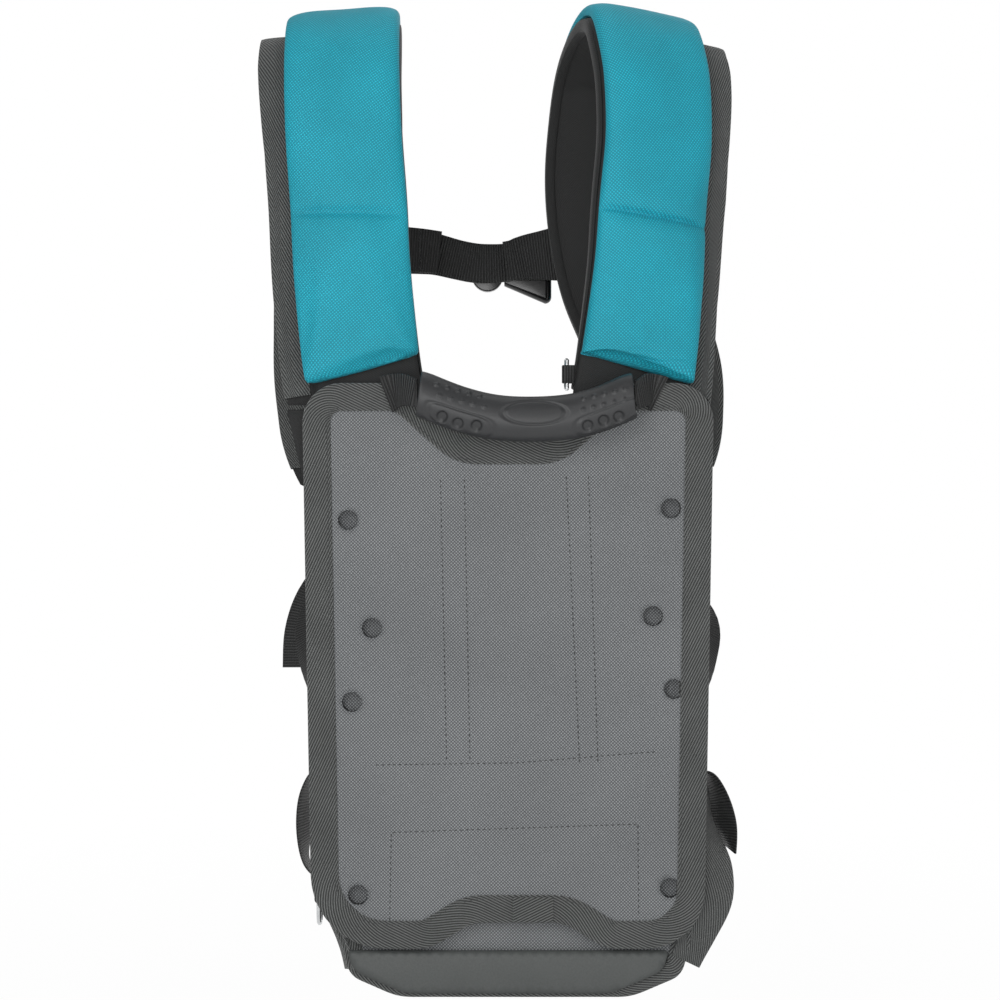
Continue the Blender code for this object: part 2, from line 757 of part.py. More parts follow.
def build_pad(looks):
    """Back pad: front canvas, foam, rear cover, lumbar band and binding."""
    outline = pad_outline()
    add_solid("pad_front_canvas", plate(outline, PAD_FRONT, PAD_BACK), looks["canvas"])
    channel = edge_channel(outline, PAD_FRONT, REAR_FLANGE_BACK, PAD_TAPE_WIDTH)
    add_solid("pad_binding", channel, looks["twill"])

    add_solid("back_pad", foam_shape(), looks["foam"])
    add_solid("rear_cover", rear_cover_shape(), looks["mesh"])

    half = 0.0930
    band_outline = filleted((
        (0.0620, PAD_FOOT_Z + 0.0015, 0.0300),
        (half, PAD_FOOT_Z + 0.0150, 0.0120),
        (half + 0.0040, LUMBAR_TOP_Z, 0.0020),
        (-half - 0.0040, LUMBAR_TOP_Z, 0.0020),
        (-half, PAD_FOOT_Z + 0.0150, 0.0120),
        (-0.0620, PAD_FOOT_Z + 0.0015, 0.0300),
    ))
    back = PAD_LIP_FRONT - FIT
    add_solid("lumbar_band", plate(band_outline, back - LUMBAR_THICKNESS, back), looks["vinyl"])


# ------------------------------------------------------------------ straps
def strap_frames(side):
    """Middle point, width direction and outward direction along one strap.

    The right strap is twisted on its front run: its outer edge lies further back.
    """
    knots = []
    for station, degrees in zip(STRAP_STATIONS, RIGHT_STRAP_TWIST_DEG):
        knots.append((*station, math.radians(degrees) if side > 0 else 0.0))
    fine = []
    for y, z, spread, shift, twist in curve(knots, 12):
        back = TWIST_PIVOT_SHARE * STRAP_HALF_WIDTH * math.sin(twist)
        fine.append((shift + side * spread, y + back, z, twist))
    places = spaced(fine, STRAP_STEP)
    middles = [Vector(place[:3]) for place in places]
    frames = []
    last = len(middles) - 1
    for index, middle in enumerate(middles):
        along = (middles[min(index + 1, last)] - middles[max(index - 1, 0)]).normalized()
        if index == 0:
            along = Vector((0.0, 0.0, 1.0))
        if index == last:
            along = Vector((0.0, 0.0, -1.0))
        top = max(0.0, math.sin(math.pi * index / last)) ** 4
        slope = SHOULDER_SLOPE * top * side
        across = Vector((math.cos(slope), 0.0, -math.sin(slope)))
        across = (across - along * across.dot(along)).normalized()
        across = Matrix.Rotation(places[index][3], 3, along) @ across
        frames.append((middle, along, across * side, (across.cross(along)).normalized()))
    return frames


def frame_at(frames, place):
    """A frame between two others, at a fractional index."""
    index = min(int(place), len(frames) - 2)
    share = place - index
    return tuple(one.lerp(other, share) for one, other in zip(frames[index], frames[index + 1]))


def place_at_height(frames, height, rear):
    """Fractional index where the strap's front or rear run passes a height."""
    order = range(len(frames) - 1)
    top = max(range(len(frames)), key=lambda index: frames[index][0].z)
    for index in order:
        low, high = sorted((frames[index][0].z, frames[index + 1][0].z))
        if low <= height <= high and (index >= top) == rear:
            here = frames[index][0].z
            return index + (height - here) / (frames[index + 1][0].z - here)
    raise ValueError("the strap doesn't pass this height")


def width_share(frames, place):
    """1 along the strap, less over its last stretch."""
    left = (len(frames) - 1 - place) * STRAP_STEP
    ease = min(1.0, left / STRAP_TAPER_LENGTH)
    return STRAP_TAPER + (1.0 - STRAP_TAPER) * ease * (2.0 - ease)


def ring_on(frame, section, share=1.0):
    """A section of (outward, off the strap) points on a frame, its edges moved in by a share."""
    middle, _, out, off = frame
    draw_in = (1.0 - share) * STRAP_HALF_WIDTH
    return [
        middle + out * (reach - math.copysign(draw_in, reach)) + off * rise
        for reach, rise in section
    ]


def base_section():
    """Foam body with a thin flange on its outer side."""
    half = STRAP_HALF_WIDTH
    thick = STRAP_HALF_THICKNESS
    flange = half - FLANGE_WIDTH
    top = FLANGE_THICKNESS - thick
    return [
        (-half, -0.6 * thick),
        (-half + 0.0020, -thick),
        (-half + EDGE_TAPE_WIDTH, -thick),
        (flange, -thick),
        (half, -thick),
        (half, top),
        (flange + 0.0010, top),
        (flange - 0.0015, 0.8 * thick),
        (flange - 0.0035, thick),
        (TEAL_MIDDLE, thick),
        (-half + 0.0020, thick),
        (-half, 0.6 * thick),
    ]


def teal_section(height):
    """Padded cover: a flat foot with a full, rounded crown."""
    base = STRAP_HALF_THICKNESS + TEAL_FIT
    points = []
    for step in range(11):
        angle = math.pi * (1.0 - step / 10)
        round_x = math.copysign(abs(math.cos(angle)) ** 0.55, math.cos(angle))
        rise = math.sin(angle) ** 0.62 if 0 < step < 10 else 0.0
        points.append((TEAL_MIDDLE + TEAL_HALF_WIDTH * round_x, base + height * rise))
    points.append((TEAL_MIDDLE, base))
    return points


def outer_tape_section():
    """Tape folded over the flange."""
    half = STRAP_HALF_WIDTH
    low = -STRAP_HALF_THICKNESS
    high = low + FLANGE_THICKNESS
    front = half - FLANGE_WIDTH + 0.0022
    rear = half - FLANGE_WIDTH
    return [
        (rear, low - FIT),
        (half + FIT, low - FIT),
        (half + FIT, high + FIT),
        (front, high + FIT),
        (front, high + FIT + TAPE),
        (half + FIT + TAPE, high + FIT + TAPE),
        (half + FIT + TAPE, low - FIT - TAPE),
        (rear, low - FIT - TAPE),
    ]


def inner_tape_section():
    """Narrow tape on the inner edge and a little of the wearer's face."""
    edge = -STRAP_HALF_WIDTH - FIT
    low = -STRAP_HALF_THICKNESS - FIT
    return [
        (edge, 0.6 * STRAP_HALF_THICKNESS),
        (edge, low),
        (edge + EDGE_TAPE_WIDTH, low),
        (edge + EDGE_TAPE_WIDTH, low - TAPE),
        (edge - TAPE, low - TAPE),
        (edge - TAPE, 0.6 * STRAP_HALF_THICKNESS),
    ]


def build_strap(name, side, carrier, looks):
    """One shoulder strap: foam base, padded cover and both edge tapes."""
    frames = strap_frames(side)
    rings = []
    first, up, out, off = frames[0]
    for angle in (20.0, 45.0, 70.0):
        drop = STRAP_HALF_THICKNESS * math.cos(math.radians(angle))
        flat_share = math.sin(math.radians(angle))
        nose = (first - up * drop, up, out, off)
        rings.append(ring_on(nose, [(x, rise * flat_share) for x, rise in base_section()]))
    last = len(frames) - 1
    for index, frame in enumerate(frames):
        rings.append(ring_on(frame, base_section(), width_share(frames, index)))
    add_solid("strap_base_" + name, skin(rings, split=True), looks["fabric"], carrier)

    taped = frames[1:last]
    for kind, section, look in (
        ("outer_binding_", outer_tape_section(), "twill"),
        ("inner_tape_", inner_tape_section(), "webbing"),
    ):
        rings = [
            ring_on(frame, section, width_share(frames, index + 1))
            for index, frame in enumerate(taped)
        ]
        add_solid(kind + name, skin(rings, split=True), looks[look], carrier)

    start = place_at_height(frames, TEAL_FRONT_END_Z, False)
    stop = place_at_height(frames, TEAL_REAR_END_Z, True)
    creases = [
        place_at_height(frames, CREASE_FRONT_Z, False),
        place_at_height(frames, CREASE_REAR_Z, True),
    ]
    places = [place for place in range(math.ceil(start), int(stop) + 1)]
    places += [start, stop]
    for ends_at, way in ((start, 1.0), (stop, -1.0)):
        places += [ends_at + way * TEAL_END_LENGTH / STRAP_STEP * share for share in (0.15, 0.5, 1.0)]
    for crease in creases:
        places = [place for place in places if abs(place - crease) > 0.55]
        reach = CREASE_HALF_LENGTH / STRAP_STEP
        places += [crease + reach * share for share in (-1.0, -0.4, 0.0, 0.4, 1.0)]
    rings = []
    for place in sorted(set(places)):
        height = TEAL_HEIGHT
        for crease in creases:
            away = (place - crease) * STRAP_STEP / (0.5 * CREASE_HALF_LENGTH)
            height *= 1.0 - CREASE_DEPTH * math.exp(-(away**2))
        near = min(place - start, stop - place) * STRAP_STEP / TEAL_END_LENGTH
        round_share = min(1.0, max(near, 0.0))
        height *= 0.35 + 0.65 * math.sqrt(round_share * (2.0 - round_share))
        rings.append(ring_on(frame_at(frames, place), teal_section(height)))
    add_solid("strap_pad_" + name, skin(rings, split=True), looks["teal"], carrier)
    return frames


def build_foot(name, side, frames, looks):
    """The strap's end sewn in behind the cover's ear, with a cuff under the hinge seam."""
    middle = frames[0][0].x
    seam = frames[0][0].z - STRAP_HALF_THICKNESS - FIT
    top_half = STRAP_HALF_WIDTH
    foot_half = STRAP_HALF_WIDTH - FOOT_DRAW_IN
    cuff = frames[0][0].y + STRAP_HALF_THICKNESS
    inward = -side * FOOT_SHIFT
    rings = []
    for z, back, half, shift in (
        (FOOT_DEPTH_Z, BOARD_BACK, foot_half, inward),
        (seam - FOOT_CUFF - FOOT_CUFF_STEP, BOARD_BACK, top_half, 0.0),
        (seam - FOOT_CUFF, cuff, top_half, 0.0),
        (seam, cuff, top_half, 0.0),
    ):
        low = middle + shift - half
        high = middle + shift + half
        rings.append([
            (low, BOARD_FRONT, z), (high, BOARD_FRONT, z), (high, back, z), (low, back, z),
        ])
    add_solid("strap_foot_" + name, skin(rings), looks["fabric"])


# ------------------------------------------------------------------ small pieces
def ring_shape(bar_middle, bar_way, reach_way):
    """A D-ring of round wire: a straight bar and a bow that stands off it."""
    middle = Vector(bar_middle)
    bar = Vector(bar_way)
    out = Vector(reach_way)
    line = [middle - bar * RING_HALF_BAR, middle + bar * RING_HALF_BAR]
    for step in range(11):
        angle = math.pi * step / 10
        line.append(
            middle
            + bar * RING_HALF_BAR * math.cos(angle)
            + out * (RING_SHOULDER + (RING_REACH - RING_SHOULDER) * math.sin(angle) ** RING_FULLNESS)
        )
    # The bow runs from the bar's far end round to its near end
    rings = []
    count = len(line)
    plane = bar.cross(out).normalized()
    for index, point in enumerate(line):
        along = (line[(index + 1) % count] - line[index - 1]).normalized()
        side = along.cross(plane).normalized()
        angles = [2.0 * math.pi * (step + 0.5) / 8 for step in range(8)]
        rings.append([
            point + (side * math.cos(a) + plane * math.sin(a)) * RING_WIRE for a in angles
        ])
    return skin(rings, closed=True)


def u_loop(centre, half_gap, thickness, legs, down, side, across, half_width):
    """A webbing keeper: two legs joined by a half round under a bar."""
    inner = []
    outer = []
    for radius, store in ((half_gap, inner), (half_gap + thickness, outer)):
        store.append(Vector(centre) - Vector(down) * legs + Vector(side) * radius)
        for step in range(7):
            angle = math.pi * step / 6
            store.append(
                Vector(centre)
                + Vector(side) * radius * math.cos(angle)
                + Vector(down) * radius * math.sin(angle)
            )
        store.append(Vector(centre) - Vector(down) * legs - Vector(side) * radius)
    profile = inner + outer[::-1]
    half = Vector(across) * half_width
    return skin([[point - half for point in profile], [point + half for point in profile]])


def build_grip(swing, looks):
    """Moulded sleeve with a slot for the webbing inside it, and the two anchors on the ears."""
    line = curve(GRIP_LINE, 3)
    outer = []
    inner = []
    count = len(line)
    for index, (x, z) in enumerate(line):
        ahead = line[min(index + 1, count - 1)]
        behind = line[max(index - 1, 0)]
        along = Vector((ahead[0] - behind[0], 0.0, ahead[1] - behind[1])).normalized()
        if index in (0, count - 1):
            along = Vector((1.0, 0.0, 0.0))
        up = Vector((0.0, -1.0, 0.0)).cross(along)
        middle = Vector((x, GRIP_Y, z))
        angles = [2.0 * math.pi * step / 16 for step in range(16)]
        outer.append([
            middle + up * (GRIP_HALF_HEIGHT * math.sin(a)) + Vector((0, GRIP_HALF_DEPTH, 0)) * math.cos(a)
            for a in angles
        ])
        slot = []
        for a in angles:
            wide = max(-1.0, min(1.0, 2.2 * math.cos(a)))
            tall = max(-1.0, min(1.0, 1.08 * math.sin(a)))
            slot.append(
                middle + up * (GRIP_SLOT_HALF_HEIGHT * tall) + Vector((0, GRIP_SLOT_HALF_DEPTH, 0)) * wide
            )
        inner.append(slot)
    sleeve = skin(outer + inner[::-1], closed=True)
    add_solid("grip_sleeve", sleeve, looks["plastic"], swing, 50.0)

    middles = [Vector((x, GRIP_Y, z)) for x, z in line]
    ways = []
    for index in range(count):
        along = middles[min(index + 1, count - 1)] - middles[max(index - 1, 0)]
        if index in (0, count - 1):
            along = Vector((1.0, 0.0, 0.0))
        ways.append(Vector((0.0, -1.0, 0.0)).cross(along.normalized()))
    width = 2 * GRIP_WEBBING_HALF_WIDTH
    add_solid("grip_webbing", strip(middles, ways, width, WEBBING), looks["webbing"], swing)

    on_ear = -FIT - TAPE - FIT - WEBBING / 2
    for name, side, end, route, seat in (
        ("left", -1.0, GRIP_LINE[0], LEFT_ANCHOR_ROUTE, LEFT_ANCHOR_SEAT),
        ("right", 1.0, GRIP_LINE[-1], RIGHT_ANCHOR_ROUTE, RIGHT_ANCHOR_SEAT),
    ):
        start = end[0] + side * GRIP_END_GAP
        path = [(start, GRIP_Y, end[1]), (start + side * ANCHOR_STUB, GRIP_Y, end[1])]
        path += [(start + side * away, GRIP_Y + behind, z) for away, behind, z in route]
        path += [(start + side * away, on_ear - lift, z) for away, z, lift in seat]
        ways = [(0.0, 0.0, 1.0)] * len(path)
        anchor = strip(path, ways, 2 * GRIP_SLOT_HALF_HEIGHT, WEBBING)
        add_solid("grip_anchor_" + name, anchor, looks["webbing"])


def taped_edge_x(frames, height):
    """Where the taped inner edge of a strap's rear run is, at a height."""
    reach = STRAP_HALF_WIDTH + FIT + TAPE
    edge = [middle - out * reach for middle, _, out, _ in frames[len(frames) // 2:]]
    for upper, lower in zip(edge, edge[1:]):
        if lower.z <= height <= upper.z:
            return upper.lerp(lower, (upper.z - height) / (upper.z - lower.z)).x
    raise ValueError("the strap's edge doesn't pass this height")


def build_chest_strap(frames, carrier, slide, looks):
    """Both halves of the chest webbing and the buckle behind them."""
    y = CHEST_Y + WEBBING / 2
    seam = 2 * FIT
    left_ends = [taped_edge_x(frames["left"], z) + seam for z in CHEST_LEFT_Z]
    right_ends = [taped_edge_x(frames["right"], z) - seam for z in CHEST_RIGHT_Z]
    left = [((left_ends[0], CHEST_LEFT_Z[0]), (left_ends[1], CHEST_LEFT_Z[1]))]
    left += [((x, low), (x, high)) for x, low, high in CHEST_LEFT_SAG]
    right = [((x, low), (x, high)) for x, low, high in CHEST_RIGHT_SAG]
    right.append(((right_ends[0], CHEST_RIGHT_Z[0]), (right_ends[1], CHEST_RIGHT_Z[1])))
    for name, edges in (("left", left), ("right", right)):
        placed = [((low[0], y, low[1]), (high[0], y, high[1])) for low, high in edges]
        add_solid("chest_webbing_" + name, band(placed, WEBBING), looks["webbing"], carrier)

    front = CHEST_Y + WEBBING + FIT
    back = front + BUCKLE_DEPTH
    low = BUCKLE_Z - BUCKLE_HALF_HEIGHT
    high = BUCKLE_Z + BUCKLE_HALF_HEIGHT
    socket = add_solid(
        "buckle_socket",
        box((SOCKET_X[0], front, low), (SOCKET_X[1], back, high)),
        looks["plastic"],
        carrier,
    )
    bevel(socket, BUCKLE_BEVEL)
    depth = SOCKET_X[0] + PRONG_LENGTH + CAVITY_END_GAP
    wall = BUCKLE_WALL
    cavity = box((SOCKET_X[0] - PAST, front + wall, low + wall), (depth, back - wall, high - wall))
    inside = wall + WINDOW_MARGIN
    windows = box(
        (SOCKET_X[0] + WINDOW_FROM_MOUTH[0], front + inside, low - PAST),
        (SOCKET_X[0] + WINDOW_FROM_MOUTH[1], back - inside, high + PAST),
    )
    bar_slot = box(
        (SOCKET_X[1] - BAR_FROM_END[0], front - PAST, low + BAR_SLOT_MARGIN),
        (SOCKET_X[1] - BAR_FROM_END[1], back + PAST, high - BAR_SLOT_MARGIN),
    )
    for label, shape in (("cavity", cavity), ("windows", windows), ("bar_slot", bar_slot)):
        cut(socket, cutter("socket_" + label, shape))

    mouth = SOCKET_X[0] - MOUTH_GAP
    plug = add_solid(
        "buckle_plug",
        box((mouth - PLUG_LENGTH, front, low + PLUG_STEP), (mouth, back, high - PLUG_STEP)),
        looks["plastic"],
        slide,
    )
    bevel(plug, BUCKLE_BEVEL)
    for label, from_end in zip(("rear", "front"), PLUG_SLOTS_FROM_END):
        x = mouth - PLUG_LENGTH + from_end
        slot = box(
            (x, front - PAST, low + PLUG_SLOT_MARGIN),
            (x + PLUG_SLOT_WIDTH, back + PAST, high - PLUG_SLOT_MARGIN),
        )
        cut(plug, cutter("plug_slot_" + label, slot))
    middle_y = (front + back) / 2
    reach = BUCKLE_HALF_HEIGHT - wall - PRONG_GAP - PRONG_HEIGHT / 2
    prongs = []
    for centre in (BUCKLE_Z - reach, BUCKLE_Z, BUCKLE_Z + reach):
        prongs.append(box(
            (mouth - PRONG_ROOT, middle_y - PRONG_DEPTH / 2, centre - PRONG_HEIGHT / 2),
            (mouth + PRONG_LENGTH, middle_y + PRONG_DEPTH / 2, centre + PRONG_HEIGHT / 2),
        ))
    cut(plug, cutter("plug_prongs", joined(*prongs)), "UNION")


def build_upper_ring(frames, carrier, swing, looks):
    """D-ring on the inner edge of the right strap, near its foot."""
    edge = ring_bar(frames)
    add_solid("upper_ring", ring_shape(edge, (0, 0, 1), (0, 1, 0)), looks["zinc"], swing, 60.0)
    _, _, out, _ = frame_at(frames, place_at_height(frames, UPPER_RING_Z, False))
    inward = Vector((-out.x, -out.y, 0.0)).normalized()
    side = Vector((0.0, 0.0, 1.0)).cross(inward)
    keeper = u_loop(
        edge, RING_WIRE + FIT, TAB_THICKNESS, KEEPER_LEG, inward, side, (0, 0, 1), TAB_HALF_WIDTH
    )
    add_solid("upper_ring_keeper", keeper, looks["webbing"], carrier)


def ring_bar(frames):
    """Middle of the upper ring's bar: just inside the strap's taped edge."""
    place = place_at_height(frames, UPPER_RING_Z, False)
    middle, _, out, _ = frame_at(frames, place)
    edge = middle - out * (STRAP_HALF_WIDTH + FIT + TAPE + KEEPER_SLACK + KEEPER_LEG)
    return (edge.x, edge.y, UPPER_RING_Z)


def lower_bar_x():
    """Middle of the lower ring's bar: outside the pad's binding on the left."""
    beside = pad_half_width(LOWER_RING_Z + TAB_LEG, -1.0)
    return -(beside + FIT + TAPE + FIT + TAB_THICKNESS + RING_WIRE + 2 * FIT)


def build_lower_ring(swing, looks):
    """D-ring that hangs from a tab at the lower left."""
    x = lower_bar_x()
    bar = (x, LOWER_RING_Y, LOWER_RING_Z)
    add_solid("lower_ring", ring_shape(bar, (0, 1, 0), (0, 0, -1)), looks["zinc"], swing, 60.0)
    tab = u_loop(
        bar, RING_WIRE + FIT, TAB_THICKNESS, TAB_LEG, (0, 0, -1), (1, 0, 0), (0, 1, 0), TAB_HALF_WIDTH
    )
    add_solid("ring_tab", tab, looks["webbing"])


def lock_axis(frames):
    """Middle of a ladder lock's top bar, below the strap's end."""
    end = frames[-1][0]
    return (end.x, end.y, end.z - LOCK_DROP)


def build_lock(name, frames, carrier, tilt, looks):
    """Ladder lock with its keeper: three bars between two rails."""
    x, y, z = lock_axis(frames)
    half = LOCK_THICKNESS / 2
    top = z + LOCK_BAR / 2
    lock = add_solid(
        "ladder_lock_" + name,
        box((x - LOCK_HALF_WIDTH, y - half, top - LOCK_HEIGHT), (x + LOCK_HALF_WIDTH, y + half, top)),
        looks["plastic"],
        tilt,
    )
    slot_half = WEBBING_WIDTH / 2 + FIT
    slots = []
    for high, low in LOCK_SLOTS:
        slots.append(box(
            (x - slot_half, y - PAST, top - low), (x + slot_half, y + PAST, top - high)
        ))
    cut(lock, cutter("lock_slots_" + name, joined(*slots)))
    keeper = u_loop(
        (x, y, z), KEEPER_HALF_GAP, TAB_THICKNESS, LOCK_DROP - FIT,
        (0, 0, -1), (0, 1, 0), (1, 0, 0), WEBBING_WIDTH / 2,
    )
    add_solid("lock_keeper_" + name, keeper, looks["webbing"], carrier)


def build_adjuster(name, side, frames, looks):
    """Webbing from the pad's side up through the ladder lock, and its free tail."""
    x, y, z = lock_axis(frames)
    top = z + LOCK_BAR / 2
    bar_z = top - LOCK_MIDDLE_BAR
    below = top - LOCK_HEIGHT - ADJUSTER_CLEAR
    turn = LOCK_THICKNESS / 2 + ADJUSTER_TURN_GAP + TAPE / 2
    seat = side * (PAD_SIDE_OUT + FIT + TAPE / 2 + SEAT_SLACK)
    rise = []
    for away, depth, height, lean, back in ADJUSTER_RISE:
        rise.append((seat + side * away, depth, height, side * lean, back, 0.0))
    depth, height, back = ADJUSTER_TOP
    blended = seat * (1.0 - ADJUSTER_TOP_SHARE) + x * ADJUSTER_TOP_SHARE
    rise.append((blended, depth, height, side, back, 0.0))
    rise.append((x, y + turn, below, side, 0.0, 0.0))
    rise.append((x, y + turn, bar_z, side, 0.0, 0.0))
    middles = []
    ways = []
    for values in curve(rise, 2):
        middles.append(values[:3])
        ways.append(values[3:])
    for step in range(7):
        angle = math.pi * step / 6
        height = bar_z + ADJUSTER_TURN + (turn + ADJUSTER_TURN_GAP) * math.sin(angle)
        middles.append((x, y + turn * math.cos(angle), height))
        ways.append((side, 0.0, 0.0))
    tail = [(x, y - turn, bar_z, side, 0.0, 0.0), (x, y - turn, below, side, 0.0, 0.0)]
    for away, depth, height, back in LEFT_TAIL if side < 0 else RIGHT_TAIL:
        tail.append((x + away, y + depth, height, side, back, 0.0))
    for values in curve(tail, 2):
        middles.append(values[:3])
        ways.append(values[3:])
    webbing = strip(middles, ways, WEBBING_WIDTH, TAPE)
    add_solid("adjuster_webbing_" + name, webbing, looks["webbing"])


def build_side_loops(looks):
    """Webbing loops at the lower sides, and the gussets below them."""
    for name, side, arch in (("right", 1.0, RIGHT_LOOP), ("left", -1.0, LEFT_LOOP)):
        seat = side * (PAD_SIDE_OUT + FIT + TAPE / 2 + SEAT_SLACK)
        knots = [(seat, LOOP_TOP_Z), *arch]
        if side < 0:
            knots.append((lower_bar_x() - LEFT_LOOP_END[0], LOWER_RING_Z + LEFT_LOOP_END[1]))
        edges = []
        for x, z in curve(knots, 3):
            edges.append(((x, LOOP_Y[0], z), (x, LOOP_Y[1], z)))
        add_solid("side_loop_" + name, band(edges, TAPE), looks["webbing"])

    behind = BOARD_FRONT + GUSSET_SHEET / 2 + FIT
    beside_pad = FIT + TAPE + FIT + GUSSET_SHEET / 2 + GUSSET_SLACK
    right = []
    for z, far_x, far_y, far_z in RIGHT_GUSSET:
        near_x = pad_half_width(z, 1.0) + beside_pad
        right.append(((near_x, behind, z), (far_x, far_y, far_z)))
    left = []
    for z in LEFT_GUSSET_Z:
        x = -pad_half_width(z, -1.0) - beside_pad
        left.append(((x, behind, z), (x, LEFT_GUSSET_Y, z)))
    add_solid("gusset_right", band(right, GUSSET_SHEET), looks["twill"])
    add_solid("gusset_left", band(left, GUSSET_SHEET), looks["twill"])


# ------------------------------------------------------------------ whole object
def make_looks():
    """The materials, by the name that the builders use."""
    return {
        "canvas": material("canvas", GREY_CANVAS, 0.85),
        "twill": material("twill_tape", BLACK_TWILL, 0.9),
        "webbing": material("webbing", BLACK_WEBBING, 0.8),
        "fabric": material("strap_fabric", BLACK_FABRIC, 0.9),
        "foam": material("foam", BLACK_FABRIC, 0.95),
        "mesh": material("rear_mesh", BLACK_FABRIC, 0.95),
        "vinyl": material("lumbar_vinyl", BLACK_TWILL, 0.45),
        "board": material("board", BLACK_PLASTIC, 0.6),
        "teal": material("teal_cover", TEAL, 0.6),
        "plastic": material("moulded_black", BLACK_PLASTIC, 0.35),
        "zinc": material("zinc_plate", ZINC, 0.25, 1.0),
    }


def main():
    """Clear the scene and build the harness."""
    for old in list(bpy.data.objects):
        bpy.data.objects.remove(old, do_unlink=True)
    looks = make_looks()
    build_cover(looks)
    build_pad(looks)

    hinge_y, hinge_z = STRAP_STATIONS[0][:2]
    carrier = pivot("strap_hinge", (0.0, hinge_y, hinge_z))
    frames = {}
    for name, side in (("left", -1.0), ("right", 1.0)):
        frames[name] = build_strap(name, side, carrier, looks)
        build_foot(name, side, frames[name], looks)
        tilt = pivot("lock_hinge_" + name, lock_axis(frames[name]))
        build_lock(name, frames[name], carrier, tilt, looks)
        build_adjuster(name, side, frames[name], looks)
    slide = pivot("plug_slide", (SOCKET_X[0], CHEST_Y, BUCKLE_Z))
    build_chest_strap(frames, carrier, slide, looks)
    ring_swing = pivot("upper_ring_hinge", ring_bar(frames["right"]))
    build_upper_ring(frames["right"], carrier, ring_swing, looks)
    lower_swing = pivot("lower_ring_hinge", (lower_bar_x(), LOWER_RING_Y, LOWER_RING_Z))
    build_lower_ring(lower_swing, looks)
    build_grip(pivot("grip_hinge", (0.0, GRIP_Y, GRIP_AXIS_Z)), looks)
    build_side_loops(looks)
    for made in bpy.data.objects:
        if made.parent:
            made.matrix_parent_inverse.identity()


main()
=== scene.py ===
# %% [markdown]
# # A carrying harness for a backpack leaf blower
#
# The solids of the harness already stand in MuJoCo's frame, one for each sewn or moulded piece.
# This lesson dresses them: every soft piece is made again as cloth, tape, webbing or padding on
# the same lines, and every moulded or metal piece gets its finish. Lengths are in metres, +Z is
# up, +X is to the right as seen from the machine and +Y points towards the wearer.

# %% Load the frame
import json
import math

import bmesh
import bpy
from mathutils import Matrix, Vector, geometry, kdtree, noise

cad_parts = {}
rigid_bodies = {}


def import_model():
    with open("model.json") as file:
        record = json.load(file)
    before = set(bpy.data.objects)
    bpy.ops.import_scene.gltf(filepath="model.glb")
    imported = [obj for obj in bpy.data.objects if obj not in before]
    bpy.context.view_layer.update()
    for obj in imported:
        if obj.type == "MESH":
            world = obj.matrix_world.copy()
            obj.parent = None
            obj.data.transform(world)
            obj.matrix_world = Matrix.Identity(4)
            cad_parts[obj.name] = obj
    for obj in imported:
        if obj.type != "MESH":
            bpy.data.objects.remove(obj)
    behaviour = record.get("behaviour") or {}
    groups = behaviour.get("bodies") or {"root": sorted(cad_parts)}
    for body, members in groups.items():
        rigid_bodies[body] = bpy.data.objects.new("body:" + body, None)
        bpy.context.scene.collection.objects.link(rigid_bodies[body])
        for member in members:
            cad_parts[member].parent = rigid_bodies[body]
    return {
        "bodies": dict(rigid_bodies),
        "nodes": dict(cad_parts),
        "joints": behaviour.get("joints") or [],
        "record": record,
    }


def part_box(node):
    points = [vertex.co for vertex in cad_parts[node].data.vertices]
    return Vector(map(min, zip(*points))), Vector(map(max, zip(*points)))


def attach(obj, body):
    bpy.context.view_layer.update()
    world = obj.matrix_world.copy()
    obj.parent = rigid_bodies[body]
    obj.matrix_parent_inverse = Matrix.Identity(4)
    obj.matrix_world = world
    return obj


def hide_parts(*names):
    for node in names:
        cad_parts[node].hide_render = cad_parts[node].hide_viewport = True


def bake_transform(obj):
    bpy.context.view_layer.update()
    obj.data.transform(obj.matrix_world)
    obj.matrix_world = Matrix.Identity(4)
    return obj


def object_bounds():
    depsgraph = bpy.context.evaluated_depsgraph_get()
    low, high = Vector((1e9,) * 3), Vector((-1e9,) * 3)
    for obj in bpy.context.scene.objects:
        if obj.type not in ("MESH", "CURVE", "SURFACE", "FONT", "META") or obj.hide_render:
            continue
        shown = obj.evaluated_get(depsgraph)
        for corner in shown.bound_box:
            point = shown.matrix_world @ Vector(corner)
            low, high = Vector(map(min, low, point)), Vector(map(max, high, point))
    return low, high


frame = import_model()
cad_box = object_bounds()

# %% [markdown]
# ## The camera
#
# The photograph was taken square to the panel from some way off. A pixel is 0.6 mm at the panel,
# so 1000 pixels are 0.6 m there. From 1.5 m that asks for a lens of 36 mm * 1.5 / 0.6 = 90 mm.

# %% Camera
PHOTO_WIDTH = 0.600
DISTANCE = 1.500
eye = bpy.data.cameras.new("camera")
eye.sensor_width = 36.0
eye.lens = eye.sensor_width * DISTANCE / PHOTO_WIDTH
camera = bpy.data.objects.new("camera", eye)
camera.location = (-0.0048, -DISTANCE, 0.1110)
camera.rotation_euler = (math.radians(90.0), 0.0, 0.0)
bpy.context.scene.collection.objects.link(camera)
bpy.context.scene.camera = camera
print("lens:", round(eye.lens, 1), "mm")

# %% [markdown]
# ## Floor, backdrop and light
#
# The studio is plain: a pale floor, a pale wall far behind, and large lamps, so that black cloth
# still shows its weave. The wall is white to the camera, and to metal and plastic that mirror it,
# while it sends no light to the harness. The floor stays an ordinary pale surface, which keeps
# the shadow.

# %% Studio
FLOOR_DROP = 0.030
bpy.context.scene.view_settings.view_transform = "Standard"
floor_z = cad_box[0][2] - FLOOR_DROP


